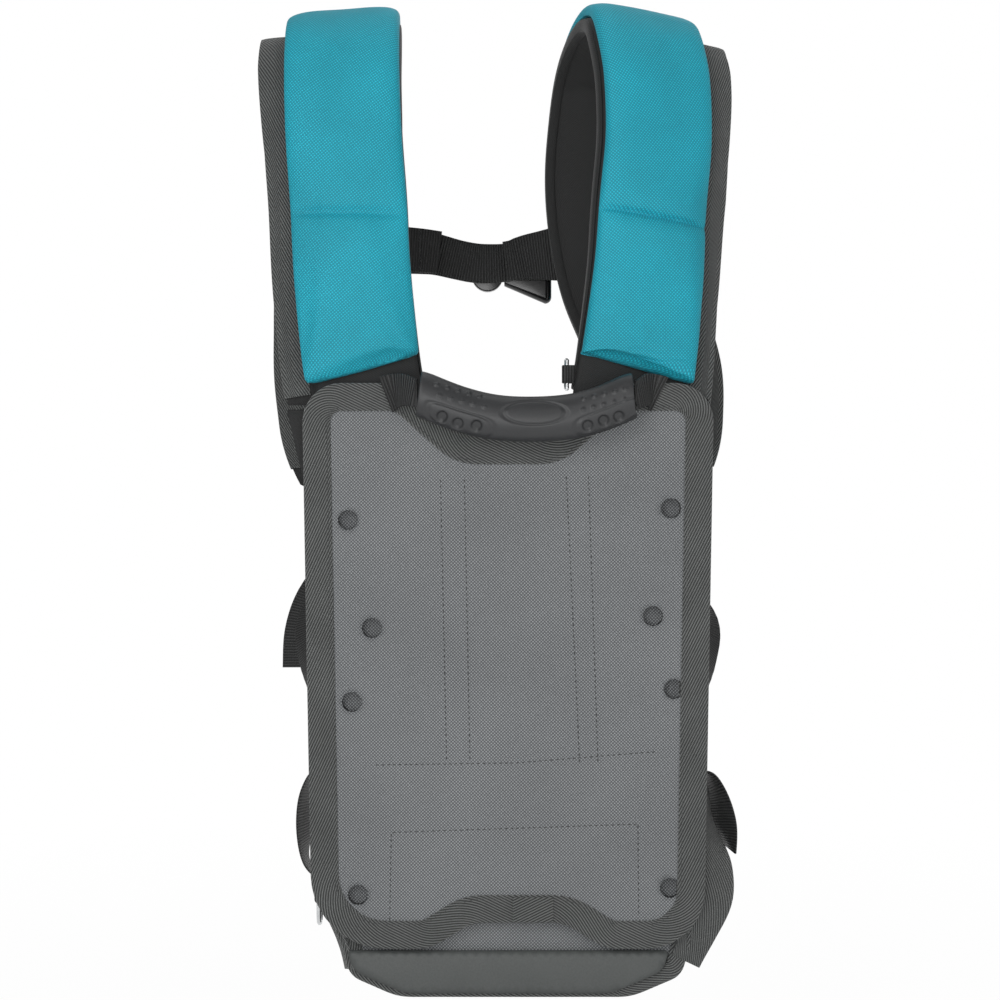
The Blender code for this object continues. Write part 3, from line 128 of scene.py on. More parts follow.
def add_node(tree, kind, settings=None, values=None, links=None):
    """Adds a node with its settings, its sockets' values and its links from other sockets."""
    made = tree.nodes.new("ShaderNode" + kind)
    for name, value in (settings or {}).items():
        setattr(made, name, value)
    for socket, value in (values or {}).items():
        made.inputs[socket].default_value = value
    for socket, source in (links or {}).items():
        tree.links.new(source, made.inputs[socket])
    return made


def linear(hex_colour):
    """An sRGB colour such as #1B9CB0 as linear red, green, blue and alpha."""
    shares = [int(hex_colour[i:i + 2], 16) / 255 for i in (1, 3, 5)]
    return [s / 12.92 if s <= 0.04045 else ((s + 0.055) / 1.055) ** 2.4 for s in shares] + [1.0]


def studio_wall(name, corners, colour):
    """A flat wall or floor that isn't part of the harness."""
    mesh = bpy.data.meshes.new(name)
    mesh.from_pydata(corners, [], [tuple(range(len(corners)))])
    made = bpy.data.objects.new(name, mesh)
    bpy.context.scene.collection.objects.link(made)
    look = bpy.data.materials.new(name)
    look.use_nodes = True
    tree = look.node_tree
    tree.nodes["Principled BSDF"].inputs["Base Color"].default_value = linear(colour)
    tree.nodes["Principled BSDF"].inputs["Roughness"].default_value = 0.9
    mesh.materials.append(look)
    return tree


floor_tree = studio_wall(
    "floor", [(-6, -6, floor_z), (6, -6, floor_z), (6, 6, floor_z), (-6, 6, floor_z)], "#F4F4F4"
)
ray = add_node(floor_tree, "LightPath")
white = add_node(floor_tree, "Emission", values={"Strength": 1.0})
place = add_node(floor_tree, "NewGeometry")
far = add_node(floor_tree, "VectorMath", {"operation": "LENGTH"},
               links={0: place.outputs["Position"]})
paler = add_node(floor_tree, "MapRange", values={"From Min": 0.3, "From Max": 1.1,
                                                 "To Min": 0.97, "To Max": 1.0},
                 links={"Value": far.outputs["Value"]})
bare = add_node(floor_tree, "Math", {"operation": "MAXIMUM"},
                links={0: ray.outputs["Is Camera Ray"], 1: ray.outputs["Is Glossy Ray"]})
seen = add_node(floor_tree, "Math", {"operation": "MULTIPLY"},
                links={0: bare.outputs[0], 1: paler.outputs[0]})
mixed = add_node(floor_tree, "MixShader", links={
    "Fac": seen.outputs[0],
    1: floor_tree.nodes["Principled BSDF"].outputs[0],
    2: white.outputs[0],
})
floor_tree.links.new(mixed.outputs[0], floor_tree.nodes["Material Output"].inputs["Surface"])

world = bpy.data.worlds.new("studio")
bpy.context.scene.world = world
world.use_nodes = True
tree = world.node_tree
ray = add_node(tree, "LightPath")
seen = add_node(tree, "Math", {"operation": "MAXIMUM"}, links={
    0: ray.outputs["Is Camera Ray"], 1: ray.outputs["Is Transmission Ray"]})
strength = add_node(tree, "MapRange", values={"To Min": 0.29, "To Max": 1.0},
                    links={"Value": seen.outputs[0]})
tree.links.new(strength.outputs[0], tree.nodes["Background"].inputs["Strength"])
tree.nodes["Background"].inputs["Color"].default_value = linear("#FFFFFF")

for name, place, size, power in (
    ("key", (-0.8, -1.7, 0.9), 1.1, 11.0),
    ("fill", (1.3, -1.5, 0.4), 1.4, 7.0),
    ("low_front", (-0.2, -1.3, -0.10), 0.6, 5.5),
    ("top", (0.1, 0.2, 1.7), 1.2, 4.5),
    ("back_fill", (0.4, 1.8, 0.8), 1.5, 8.0),
):
    lamp = bpy.data.lights.new(name, "AREA")
    lamp.size = size
    lamp.energy = power
    stand = bpy.data.objects.new(name, lamp)
    stand.location = place
    aim = Vector((0.0, 0.05, 0.1)) - Vector(place)
    stand.rotation_euler = aim.to_track_quat("-Z", "Y").to_euler()
    bpy.context.scene.collection.objects.link(stand)
print("floor at z =", round(floor_z, 3))

# %% [markdown]
# ## Finishes of the woven pieces
#
# Six cloths make most of the harness. The panel is a coated polyester canvas, the edges are
# bound in twill tape, the loops are ribbed webbing, the shoulder pads have a teal cover on top
# and a smooth black lining, and the wearer's side is spacer mesh. Canvas and mesh read Object
# coordinates, because they were cut flat from the roll. The others read a UV map in metres, u
# across and v along, so that their weave follows each bend.

# %% Woven finishes
RIPPLE = math.pi / 10


def cloth(name, roughness, sheen=0.0, sheen_colour="#FFFFFF", place="Object"):
    """A new Principled material, its node tree, its shader and its coordinates."""
    made = bpy.data.materials.new(name)
    made.use_nodes = True
    shader = made.node_tree.nodes["Principled BSDF"]
    shader.inputs["Roughness"].default_value = roughness
    shader.inputs["Sheen Weight"].default_value = sheen
    shader.inputs["Sheen Tint"].default_value = linear(sheen_colour)
    shader.inputs["Sheen Roughness"].default_value = 0.4
    return made, made.node_tree, shader, add_node(made.node_tree, "TexCoord").outputs[place]


def colour_and_bump(tree, shader, pattern, low, high, depth, wear=None):
    """Joins a pattern from 0 to 1 to the colour, between two hex values, and to a bump."""
    mixed = add_node(tree, "MixRGB", values={1: linear(low), 2: linear(high)},
                     links={0: pattern})
    last = mixed.outputs[0]
    if wear:
        last = add_node(tree, "MixRGB", {"blend_type": "MULTIPLY"}, {0: 1.0},
                        {1: last, 2: wear}).outputs[0]
    tree.links.new(last, shader.inputs["Base Color"])
    bump = add_node(tree, "Bump", values={"Distance": depth, "Strength": 1.0},
                    links={"Height": pattern})
    tree.links.new(bump.outputs[0], shader.inputs["Normal"])


def faded(tree, where, scale, low, high):
    """A slow change of tone, as cloth has where it is handled or folded."""
    cloud = add_node(tree, "TexNoise", values={"Scale": scale, "Detail": 3.0},
                     links={"Vector": where})
    return add_node(tree, "MapRange", values={"From Min": 0.3, "From Max": 0.7,
                                              "To Min": low, "To Max": high},
                    links={"Value": cloud.outputs[0]}).outputs[0]


# Coated polyester canvas, plain weave: yarns 1.0 mm apart, over and under, which shows as a
# fine grey check. The coating makes it a little glossy.
CANVAS_YARN = 0.0010
canvas, tree, shader, where = cloth("coated_polyester_canvas", 0.62)
warp, weft = [
    add_node(tree, "TexWave", {"bands_direction": way},
             {"Scale": RIPPLE / CANVAS_YARN / 2, "Distortion": 0.25, "Detail Scale": 3.0},
             {"Vector": where}).outputs["Fac"] for way in "XZ"]
gap = add_node(tree, "Math", {"operation": "SUBTRACT"}, links={0: warp, 1: weft})
check = add_node(tree, "Math", {"operation": "ABSOLUTE"}, links={0: gap.outputs[0]})
colour_and_bump(tree, shader, check.outputs[0], "#44464A", "#A0A3A4", 0.00022,
                faded(tree, where, 14.0, 0.90, 1.06))

# Twill binding tape: ribs run slantwise across it, 1.5 mm apart, in a soft black polyester.
TWILL_RIB = 0.0015
TWILL_SLANT = math.radians(26.0)
twill, tree, shader, where = cloth("twill_binding_tape", 0.85, 0.25, place="UV")
slant = add_node(tree, "Mapping", values={"Rotation": (0.0, 0.0, TWILL_SLANT)},
                 links={"Vector": where})
rib = add_node(tree, "TexWave", {"bands_direction": "X"},
               {"Scale": RIPPLE / TWILL_RIB, "Distortion": 0.5, "Detail Scale": 6.0},
               {"Vector": slant.outputs[0]})
colour_and_bump(tree, shader, rib.outputs["Fac"], "#292B2A", "#767877", 0.00050,
                faded(tree, where, 30.0, 0.86, 1.08))

# Polypropylene webbing: a thick weft rib every 1.7 mm, straight across, with a slight gloss.
WEBBING_RIB = 0.0017
ribbed, tree, shader, where = cloth("polypropylene_webbing", 0.55, place="UV")
rib = add_node(tree, "TexWave", {"bands_direction": "Y"},
               {"Scale": RIPPLE / WEBBING_RIB, "Distortion": 0.3, "Detail Scale": 8.0},
               {"Vector": where})
cord_line = add_node(tree, "TexWave", {"bands_direction": "X"},
                     {"Scale": RIPPLE / WEBBING_RIB, "Distortion": 0.2}, {"Vector": where})
woven = add_node(tree, "MixRGB", values={0: 0.12},
                 links={1: rib.outputs["Fac"], 2: cord_line.outputs["Fac"]})
colour_and_bump(tree, shader, woven.outputs[0], "#0A0A0A", "#363737", 0.00060,
                faded(tree, where, 25.0, 0.85, 1.1))

# Strap lining: smooth black polyester with a fine yarn, 0.8 mm apart, that shines at its edge.
LINING_YARN = 0.0008
lining, tree, shader, where = cloth("smooth_polyester_lining", 0.7, 0.2, place="UV")
yarn = add_node(tree, "TexWave", {"bands_direction": "DIAGONAL"},
                {"Scale": RIPPLE / LINING_YARN, "Distortion": 1.0, "Detail Scale": 4.0},
                {"Vector": where})
colour_and_bump(tree, shader, yarn.outputs["Fac"], "#131414", "#202121", 0.0001,
                faded(tree, where, 12.0, 0.85, 1.12))

# Teal cover: polyester in a grainy weave, its raised dots 1.5 mm apart in rows that run 35
# degrees to the strap. Loose fibres give a pale sheen.
TEAL_YARN = 0.0015
TEAL_BIAS = math.radians(35.0)
teal, tree, shader, where = cloth("teal_polyester_cover", 0.66, 0.15, "#9FE6F0", "UV")
turned = add_node(tree, "Mapping", values={"Rotation": (0.0, 0.0, TEAL_BIAS)},
                  links={"Vector": where}).outputs[0]
across, along = [
    add_node(tree, "TexWave", {"bands_direction": way},
             {"Scale": RIPPLE / TEAL_YARN, "Distortion": 0.8, "Detail Scale": 5.0},
             {"Vector": turned}).outputs["Fac"] for way in "XY"]
dots = add_node(tree, "Math", {"operation": "MULTIPLY"}, links={0: across, 1: along})
colour_and_bump(tree, shader, dots.outputs[0], "#068CA2", "#27D2E8", 0.00016,
                faded(tree, where, 16.0, 0.88, 1.08))

# Spacer mesh on the wearer's side: two knitted faces, the outer one with round eyelets 3.2 mm
# apart that look into the dark space between them.
EYELET = 0.0032
spacer, tree, shader, where = cloth("spacer_mesh", 0.85, 0.2)
flat_place = add_node(tree, "Mapping", values={"Scale": (1.0, 0.0, 1.0)},
                      links={"Vector": where})
cells = add_node(tree, "TexVoronoi", values={"Scale": 1.0 / EYELET, "Randomness": 0.25},
                 links={"Vector": flat_place.outputs[0]})
hole = add_node(tree, "MapRange", values={"From Min": 0.22, "From Max": 0.42},
                links={"Value": cells.outputs["Distance"]})
colour_and_bump(tree, shader, hole.outputs[0], "#080808", "#2C2D2D", 0.0005,
                faded(tree, where, 10.0, 0.9, 1.1))


def grained(name, roughness, scale, low, high, depth, detail=2.0, wear=None):
    """A smooth finish whose colour and relief carry one fine even grain."""
    made, tree, shader, where = cloth(name, roughness)
    grain = add_node(tree, "TexNoise", values={"Scale": scale, "Detail": detail},
                     links={"Vector": where})
    colour_and_bump(tree, shader, grain.outputs[0], low, high, depth,
                    faded(tree, where, *wear) if wear else None)
    return made, shader


# Coated cloth of the lumbar band: smooth, dark grey, with a faint leather grain of 1 mm.
vinyl, _ = grained("coated_lumbar_cloth", 0.5, 900.0, "#434645", "#545756", 0.00008,
                   wear=(22.0, 0.92, 1.05))

# Sewing thread: twisted polyester, slightly glossy, its twist under 1 mm long.
thread, _ = grained("polyester_thread", 0.5, 1500.0, "#2A2B2B", "#4A4C4C", 0.00005)

# %% [markdown]
# ## Finishes of the moulded and metal pieces
#
# The grip and the ladder locks are moulded nylon. Their moulds were spark eroded, which leaves
# a fine matt grain that breaks up the gloss. The D-rings are steel wire with bright zinc
# plating. The back board is a sheet of black polypropylene, of which only a dark glimpse shows
# in the bolt holes; its near-black colour is partly its own and partly painted shade there.

# %% Moulded and metal finishes
# Nylon from a spark-eroded mould: a matt grain of about half a millimetre.
nylon, shader = grained("moulded_nylon", 0.42, 2200.0, "#222324", "#343537", 0.00005,
                        wear=(40.0, 0.9, 1.15))
shader.inputs["IOR"].default_value = 1.53

# The buckle is acetal from a polished mould, so it is glossier and shows small highlights. Only
# flow marks a few millimetres long are left in it.
acetal, _ = grained("polished_acetal", 0.22, 300.0, "#0E0E0F", "#19191A", 0.00002)

# Bright zinc plate on steel wire: electroplated, with spangles of about 2 mm.
zinc, shader = grained("bright_zinc_plate", 0.22, 500.0, "#B9BBBC", "#DADCDD", 0.00002, 3.0)
shader.inputs["Metallic"].default_value = 1.0

# Extruded polypropylene sheet: satin, with a haze in patches of 3 mm. Its near-black colour is
# partly the sheet's own black and partly painted shade for the depth of the bolt holes.
board_black_and_hole_shade, _ = grained("polypropylene_board_hole_shade", 0.55, 300.0, "#121313", "#1E1F1F", 0.00003)
print("finishes:", len(bpy.data.materials))

# %% [markdown]
# ## Helpers for cloth on a path
#
# Sewn goods are flat strips that follow a line, so one way of building serves most of them: a
# cross-section is carried along a path and the rings are joined into a skin. Each face corner
# also gets its own place in metres, round the section and along the path, which the ribs of tape
# and webbing read.

# %% Skins, paths and pieces
FIT = 0.0003
SHARP_ANGLE = 50.0


def skin(rings, closed=False):
    """Points, faces and UV corners over rings of equal length, capped unless closed."""
    size = len(rings[0])
    count = len(rings)
    points = [point for ring in rings for point in ring]
    around = [0.0]
    middle_ring = rings[count // 2]
    for index in range(size):
        step = Vector(middle_ring[(index + 1) % size]) - Vector(middle_ring[index])
        around.append(around[-1] + step.length)
    middles = [sum((Vector(point) for point in ring), Vector()) / size for ring in rings]
    along = [0.0]
    for index in range(count):
        along.append(along[-1] + (middles[(index + 1) % count] - middles[index]).length)
    faces = []
    corners = []
    for index in range(count if closed else count - 1):
        here = index * size
        there = (index + 1) % count * size
        for side in range(size):
            after = (side + 1) % size
            faces.append((here + side, here + after, there + after, there + side))
            corners.append([
                (around[side], along[index]), (around[side + 1], along[index]),
                (around[side + 1], along[index + 1]), (around[side], along[index + 1]),
            ])
    if not closed:
        for first in (0, (count - 1) * size):
            faces.append(tuple(range(first, first + size)))
            corners.append([(around[side], 0.0) for side in range(size)])
    return points, faces, corners


def hand_over(made, finish, body, nodes=()):
    """Gives a piece its finish, the body it rides on and the solids it stands for."""
    made.data.materials.append(finish)
    if body:
        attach(made, body)
    if nodes:
        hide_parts(*nodes)


def chosen(made):
    """Makes one piece the only selected and active one."""
    bpy.ops.object.select_all(action="DESELECT")
    bpy.context.view_layer.objects.active = made
    made.select_set(True)


def applied(made, kind, **settings):
    """Adds a modifier with its settings and applies it."""
    extra = made.modifiers.new(kind.lower(), kind)
    for name, value in settings.items():
        setattr(extra, name, value)
    bpy.ops.object.modifier_apply(modifier=extra.name)


def piece(name, shape, finish, body, nodes=()):
    """A mesh piece that rides on a body, if one is named, and stands for the solids it dresses."""
    points, faces, corners = shape
    mesh = bpy.data.meshes.new(name)
    mesh.from_pydata([Vector(point) for point in points], [], faces)
    if corners:
        layer = mesh.uv_layers.new(name="cloth")
        flat = [place for face in corners for place in face]
        for index, place in enumerate(flat):
            layer.data[index].uv = place
    shell = bmesh.new()
    shell.from_mesh(mesh)
    bmesh.ops.recalc_face_normals(shell, faces=shell.faces)
    shell.to_mesh(mesh)
    shell.free()
    mesh.shade_smooth()
    mesh.set_sharp_from_angle(angle=math.radians(SHARP_ANGLE))
    made = bpy.data.objects.new(name, mesh)
    bpy.context.scene.collection.objects.link(made)
    hand_over(made, finish, body, nodes)
    return made


def curve(knots, steps):
    """Points of a smooth curve through knots of any number of values."""
    found = []
    last = len(knots) - 1
    for span in range(last):
        four = [knots[min(max(span + shift, 0), last)] for shift in (-1, 0, 1, 2)]
        for step in range(steps):
            t = step / steps
            found.append(tuple(
                0.5 * (2 * b + (c - a) * t + (2 * a - 5 * b + 4 * c - d) * t**2
                       + (3 * b - a - 3 * c + d) * t**3)
                for a, b, c, d in zip(*four)
            ))
    found.append(tuple(knots[-1]))
    return found


def spaced(points, step, closed=False):
    """Points of a polyline at nearly equal distances."""
    points = [Vector(point) for point in points]
    if closed:
        points.append(points[0].copy())
    lengths = [0.0]
    for one, other in zip(points, points[1:]):
        lengths.append(lengths[-1] + (other - one).length)
    count = max(2, round(lengths[-1] / step))
    found = []
    span = 0
    for index in range(count if closed else count + 1):
        wanted = lengths[-1] * index / count
        while span < len(points) - 2 and lengths[span + 1] < wanted:
            span += 1
        reach = lengths[span + 1] - lengths[span]
        share = (wanted - lengths[span]) / reach if reach > 0 else 0.0
        found.append(points[span].lerp(points[span + 1], min(share, 1.0)))
    return found


def strip_rings(middles, ways, width, thickness):
    """Rings of webbing: a flat section with round edges, from middles and directions across."""
    rings = []
    last = len(middles) - 1
    for index, middle in enumerate(middles):
        ahead = Vector(middles[min(index + 1, last)]) - Vector(middles[max(index - 1, 0)])
        across = Vector(ways[index])
        across = (across - ahead * across.dot(ahead) / ahead.length_squared).normalized()
        normal = across.cross(ahead).normalized()
        half = width[index] / 2 if isinstance(width, (list, tuple)) else width / 2
        edge = thickness / 2
        section = (
            (-half, 0.0), (-half + 0.3 * edge, -0.8 * edge), (-half + edge, -edge),
            (-half / 2, -edge), (0.0, -edge), (half / 2, -edge), (half - edge, -edge),
            (half - 0.3 * edge, -0.8 * edge), (half, 0.0), (half - 0.3 * edge, 0.8 * edge),
            (half - edge, edge), (half / 2, edge), (0.0, edge), (-half / 2, edge),
            (-half + edge, edge), (-half + 0.3 * edge, 0.8 * edge),
        )
        rings.append([
            Vector(middle) + across * out + normal * rise for out, rise in section
        ])
    return rings


def smooth_strip(knots, width, thickness, steps=6, step=0.0025):
    """Webbing along knots of a place and a direction across, six values each."""
    fine = spaced_pairs(curve(knots, steps), step)
    return skin(strip_rings([v[:3] for v in fine], [v[3:] for v in fine], width, thickness))


def spaced_pairs(points, step):
    """As spaced, for points of six values measured by their first three."""
    lengths = [0.0]
    for one, other in zip(points, points[1:]):
        lengths.append(lengths[-1] + math.dist(one[:3], other[:3]))
    count = max(2, round(lengths[-1] / step))
    found = []
    span = 0
    for index in range(count + 1):
        wanted = lengths[-1] * index / count
        while span < len(points) - 2 and lengths[span + 1] < wanted:
            span += 1
        reach = lengths[span + 1] - lengths[span]
        share = min((wanted - lengths[span]) / reach, 1.0) if reach > 0 else 0.0
        found.append(tuple(a + (b - a) * share for a, b in zip(points[span], points[span + 1])))
    return found


def merged(*shapes):
    """Several shapes as one."""
    points = []
    faces = []
    corners = []
    for more_points, more_faces, more_corners in shapes:
        start = len(points)
        points += more_points
        faces += [tuple(start + corner for corner in face) for face in more_faces]
        corners += more_corners
    return points, faces, corners


# %% [markdown]
# ## Stitches
#
# A seam reads as sewn only when its single stitches show. Each is a short grain of thread that
# dips into the cloth at both ends. One low shape of a few faces is copied along a line, so that
# hundreds of them stay light.

# %% Rows of stitches
STITCH_PITCH = 0.0034
STITCH_LENGTH = 0.0023
THREAD_RADIUS = 0.00032


def stitches(path, normal, closed=False, pitch=STITCH_PITCH):
    """Grains of thread along a path, lying on a surface that faces along normal."""
    places = spaced(path, pitch, closed)
    shapes = []
    for here, there in zip(places, places[1:] + (places[:1] if closed else [])):
        along = (there - here).normalized()
        face = Vector(normal(here) if callable(normal) else normal).normalized()
        side = along.cross(face).normalized()
        middle = (here + there) / 2
        rings = []
        for share, thick, rise in ((-0.5, 0.35, -0.8), (-0.25, 1.0, 0.1), (0.25, 1.0, 0.1),
                                   (0.5, 0.35, -0.8)):
            centre = middle + along * STITCH_LENGTH * share + face * THREAD_RADIUS * rise
            rings.append([
                centre + (side * math.cos(a) + face * math.sin(a)) * THREAD_RADIUS * thick
                for a in (0.0, 1.257, 2.513, 3.770, 5.027)
            ])
        shapes.append(skin(rings))
    return merged(*shapes)


# %% [markdown]
# ## The cover's outline
#
# The canvas is cut with two ears at the top, a notch between them for the hand and a lower edge
# that bows up in the middle. The outline goes through corners that are rounded by arcs, and a
# second function moves it inwards or outwards, so that the tape and its stitches run parallel
# to the edge.

# %% Outlines
EAR_INNER_X = 0.0620
NOTCH_HALF_WIDTH = 0.0260
NOTCH_Z = 0.1480
COVER_TOP_Z = 0.1800
COVER_FOOT_Z = -0.1570
BOLT_HOLES = (
    (-0.0960, 0.0990), (0.0978, 0.1060), (-0.0816, 0.0342), (0.0870, 0.0414),
    (-0.0936, -0.0102), (0.0996, -0.0024), (-0.0900, -0.1260), (0.0972, -0.1218),
)
BOLT_HOLE_RADIUS = 0.0060


def filleted(corners, step_deg=9.0):
    """A closed outline through (x, z, radius) corners, each rounded by an arc."""
    outline = []
    for index, (x, z, radius) in enumerate(corners):
        corner = Vector((x, z))
        before = Vector(corners[index - 1][:2]) - corner
        after = Vector(corners[(index + 1) % len(corners)][:2]) - corner
        before.normalize()
        after.normalize()
        opening = before.angle(after)
        turn = math.pi - opening
        centre = corner + (before + after).normalized() * radius / math.sin(opening / 2)
        start = corner + before * radius / math.tan(opening / 2) - centre
        side = 1.0 if before.x * after.y - before.y * after.x < 0.0 else -1.0
        steps = max(1, round(math.degrees(turn) / step_deg))
        for step in range(steps + 1):
            angle = side * turn * step / steps
            outline.append((
                centre.x + start.x * math.cos(angle) - start.y * math.sin(angle),
                centre.y + start.x * math.sin(angle) + start.y * math.cos(angle),
            ))
    return outline


def rounded(corners, step):
    """A closed outline with rounded corners, its points at nearly equal distances."""
    return [tuple(point) for point in spaced(filleted(corners), step, True)]


def offset(outline, distance):
    """An outline moved outwards by a distance, or inwards by a negative one."""
    moved = []
    for index, point in enumerate(outline):
        here = Vector(point)
        before = (here - Vector(outline[index - 1])).normalized()
        after = (Vector(outline[(index + 1) % len(outline)]) - here).normalized()
        normals = [Vector((way.y, -way.x)) for way in (before, after)]
        middle = (normals[0] + normals[1]).normalized()
        moved.append(tuple(here + middle * distance / max(0.5, middle.dot(normals[0]))))
    return moved


COVER_CORNERS = [
    (0.0340, -0.1415, 0.0260), (0.0590, COVER_FOOT_Z, 0.0260), (0.1165, COVER_FOOT_Z, 0.0340),
    (0.1225, COVER_TOP_Z, 0.0220), (EAR_INNER_X, COVER_TOP_Z, 0.0200),
    (NOTCH_HALF_WIDTH, NOTCH_Z, 0.0200), (-NOTCH_HALF_WIDTH, NOTCH_Z, 0.0200),
    (-EAR_INNER_X, COVER_TOP_Z, 0.0200), (-0.1225, COVER_TOP_Z, 0.0220),
    (-0.1165, COVER_FOOT_Z, 0.0440), (-0.0470, COVER_FOOT_Z, 0.0260),
    (-0.0220, -0.1415, 0.0260),
]
cover_edge = rounded(COVER_CORNERS, 0.0020)
print("cover edge:", len(cover_edge), "points")

# %% [markdown]
# ## The canvas cover
#
# Stiffened canvas lies almost flat, yet never quite: it swells a little between the seams and is
# drawn in along each row of stitches. A triangulated sheet with points every few millimetres can
# carry that. The bolt holes are part of the triangulation, so they stay round, and Solidify
# gives the sheet its 2 mm.

# %% Canvas sheets
SEAM_LINES = (
    ((-0.0405, 0.1240), (-0.0368, -0.0455)), ((-0.0262, 0.1240), (-0.0228, -0.0455)),
    ((0.0350, 0.1260), (0.0430, -0.0470)), ((0.0483, 0.1260), (0.0540, -0.0470)),
    ((-0.0800, -0.0480), (0.0040, -0.0468)), ((0.0040, -0.0468), (0.0890, -0.0400)),
    ((-0.0700, -0.0885), (0.0780, -0.0835)), ((-0.0700, -0.0885), (-0.0710, -0.1420)),
    ((0.0780, -0.0835), (0.0785, -0.1380)),
)


def seam_distance(x, z):
    """How far a point of the canvas is from the nearest row of stitches."""
    nearest = 1.0
    for (x0, z0), (x1, z1) in SEAM_LINES:
        dx, dz = x1 - x0, z1 - z0
        share = max(0.0, min(1.0, ((x - x0) * dx + (z - z0) * dz) / (dx * dx + dz * dz)))
        nearest = min(nearest, math.hypot(x - x0 - share * dx, z - z0 - share * dz))
    return nearest


def cover_swell(x, z):
    """How far the canvas stands out towards the machine, in metres."""
    pull = math.exp(-((seam_distance(x, z) / 0.0022) ** 2))
    slow = noise.noise(Vector((x * 16.0, z * 11.0, 3.0)))
    fine = noise.noise(Vector((x * 45.0, z * 38.0, 9.0)))
    return 0.00022 * slow + 0.00008 * fine - 0.00030 * pull


def inside(outline, x, z):
    """Whether a point lies within an outline."""
    found = False
    for (x0, z0), (x1, z1) in zip(outline, outline[1:] + outline[:1]):
        if (z0 > z) != (z1 > z) and x < x0 + (x1 - x0) * (z - z0) / (z1 - z0):
            found = not found
    return found


HOLE_SIDES = 28


def canvas_sheet(outline, holes, step, front, swell):
    """A triangulated sheet inside an outline, with round holes."""
    places = [Vector(point) for point in outline]
    edges = [(i, (i + 1) % len(places)) for i in range(len(places))]
    for x, z in holes:
        start = len(places)
        for turn in range(HOLE_SIDES):
            angle = 2.0 * math.pi * turn / HOLE_SIDES
            places.append(Vector((x + BOLT_HOLE_RADIUS * math.cos(angle),
                                  z + BOLT_HOLE_RADIUS * math.sin(angle))))
        edges += [(start + i, start + (i + 1) % HOLE_SIDES) for i in range(HOLE_SIDES)]
    low_x = min(p.x for p in places)
    low_z = min(p.y for p in places)
    inner = offset(outline, -step * 0.6)
    for column in range(int((max(p.x for p in places[:len(outline)]) - low_x) / step) + 1):
        for row in range(int((max(p.y for p in places[:len(outline)]) - low_z) / step) + 1):
            x = low_x + column * step
            z = low_z + (row + 0.5 * (column % 2)) * step
            clear = all(math.hypot(x - hx, z - hz) > BOLT_HOLE_RADIUS + 0.5 * step
                        for hx, hz in holes)
            if clear and inside(inner, x, z):
                places.append(Vector((x, z)))
    found, _, triangles, *_ = geometry.delaunay_2d_cdt(places, edges, [], 0, 1e-7)
    kept = []
    for face in triangles:
        x = sum(found[i].x for i in face) / 3
        z = sum(found[i].y for i in face) / 3
        if inside(outline, x, z) and all(
            math.hypot(x - hx, z - hz) > BOLT_HOLE_RADIUS for hx, hz in holes
        ):
            kept.append(tuple(face))
    points = [(p.x, front - swell(p.x, p.y), p.y) for p in found]
    return points, kept, None


def sheet_piece(name, shape, thickness, finish, nodes, flat, area=None):
    """A sewn sheet: its face turned to the machine, its thickness away from it."""
    made = piece(name, shape, finish, "panel", nodes)
    if sum(face.normal.y * face.area for face in made.data.polygons) > 0:
        made.data.flip_normals()
    if area is None:
        area = min(sum(face.area for face in made.data.polygons), flat[0] * flat[1])
    chosen(made)
    applied(made, "SOLIDIFY", thickness=thickness, offset=-1.0)
    print(name, "sheet:", round(area, 4), "m2")


COVER_THICKNESS = 0.0020
sheet_piece("canvas_cover", canvas_sheet(cover_edge, BOLT_HOLES, 0.0035, 0.0, cover_swell),
            COVER_THICKNESS, canvas, ["outer_cover"], (0.247, 0.340), 0.0745)

rows = []
for (x0, z0), (x1, z1) in SEAM_LINES:
    line = []
    for share in range(41):
        x = x0 + (x1 - x0) * share / 40
        z = z0 + (z1 - z0) * share / 40
        line.append((x, -cover_swell(x, z) - 0.00005, z))
    rows.append(stitches(line, (0, -1, 0)))
piece("canvas_stitches", merged(*rows), thread, "panel")
print("rows of stitches on the canvas:", len(rows))

# %% [markdown]
# ## Binding tape
#
# The raw edge of the canvas is bound: a twill tape is folded over it and sewn through both
# lips. The tape is thin where it was pressed flat and swells over the edge itself. Its section
# is carried round the outline, with the lips on both sides of the sheet.

# %% Tape round the cover and the pad
TAPE = 0.0010


def folded_tape(outline, front, back, lip, puff=0.0004, wave=0.00018):
    """Tape folded over a sheet's edge, between two depths."""
    section = []
    for share in (0.0, 0.03, 0.12, 0.35, 0.65, 0.90, 1.0):
        swell = puff * math.sin(math.pi * share) ** 0.7 if 0 < share < 1 else 0.0
        thin = 0.45 if share == 0.0 else 0.85 if share == 0.03 else 1.0
        section.append((-lip + lip * share, front - FIT - TAPE * thin - swell))
    middle = (front + back) / 2
    reach = FIT + TAPE
    deep = (back - front) / 2 + FIT + TAPE
    for angle in (-65, -35, 0, 35, 65):
        section.append((reach * math.cos(math.radians(angle)) ** 0.5,
                        middle + deep * math.sin(math.radians(angle))))
    for share in (1.0, 0.90, 0.5, 0.10, 0.0):
        section.append((-lip + lip * share, back + FIT + TAPE * (0.45 if share == 0.0 else 1.0)))
    section += [(-lip, back + FIT), (FIT * 0.5, back + FIT), (FIT * 0.5, front - FIT),
                (-lip, front - FIT)]
    loops = []
    for out, depth in section:
        loops.append((offset(outline, out), depth))
    rings = []
    for index in range(len(outline)):
        ring = []
        for place, (loop, depth) in enumerate(loops):
            x, z = loop[index]
            ripple = 0.0
            if place < 12:
                ripple = wave * noise.noise(Vector((x * 60.0, z * 60.0, place * 0.4)))
            ring.append((x, depth - ripple, z))
        rings.append(ring)
    return skin(rings, closed=True)


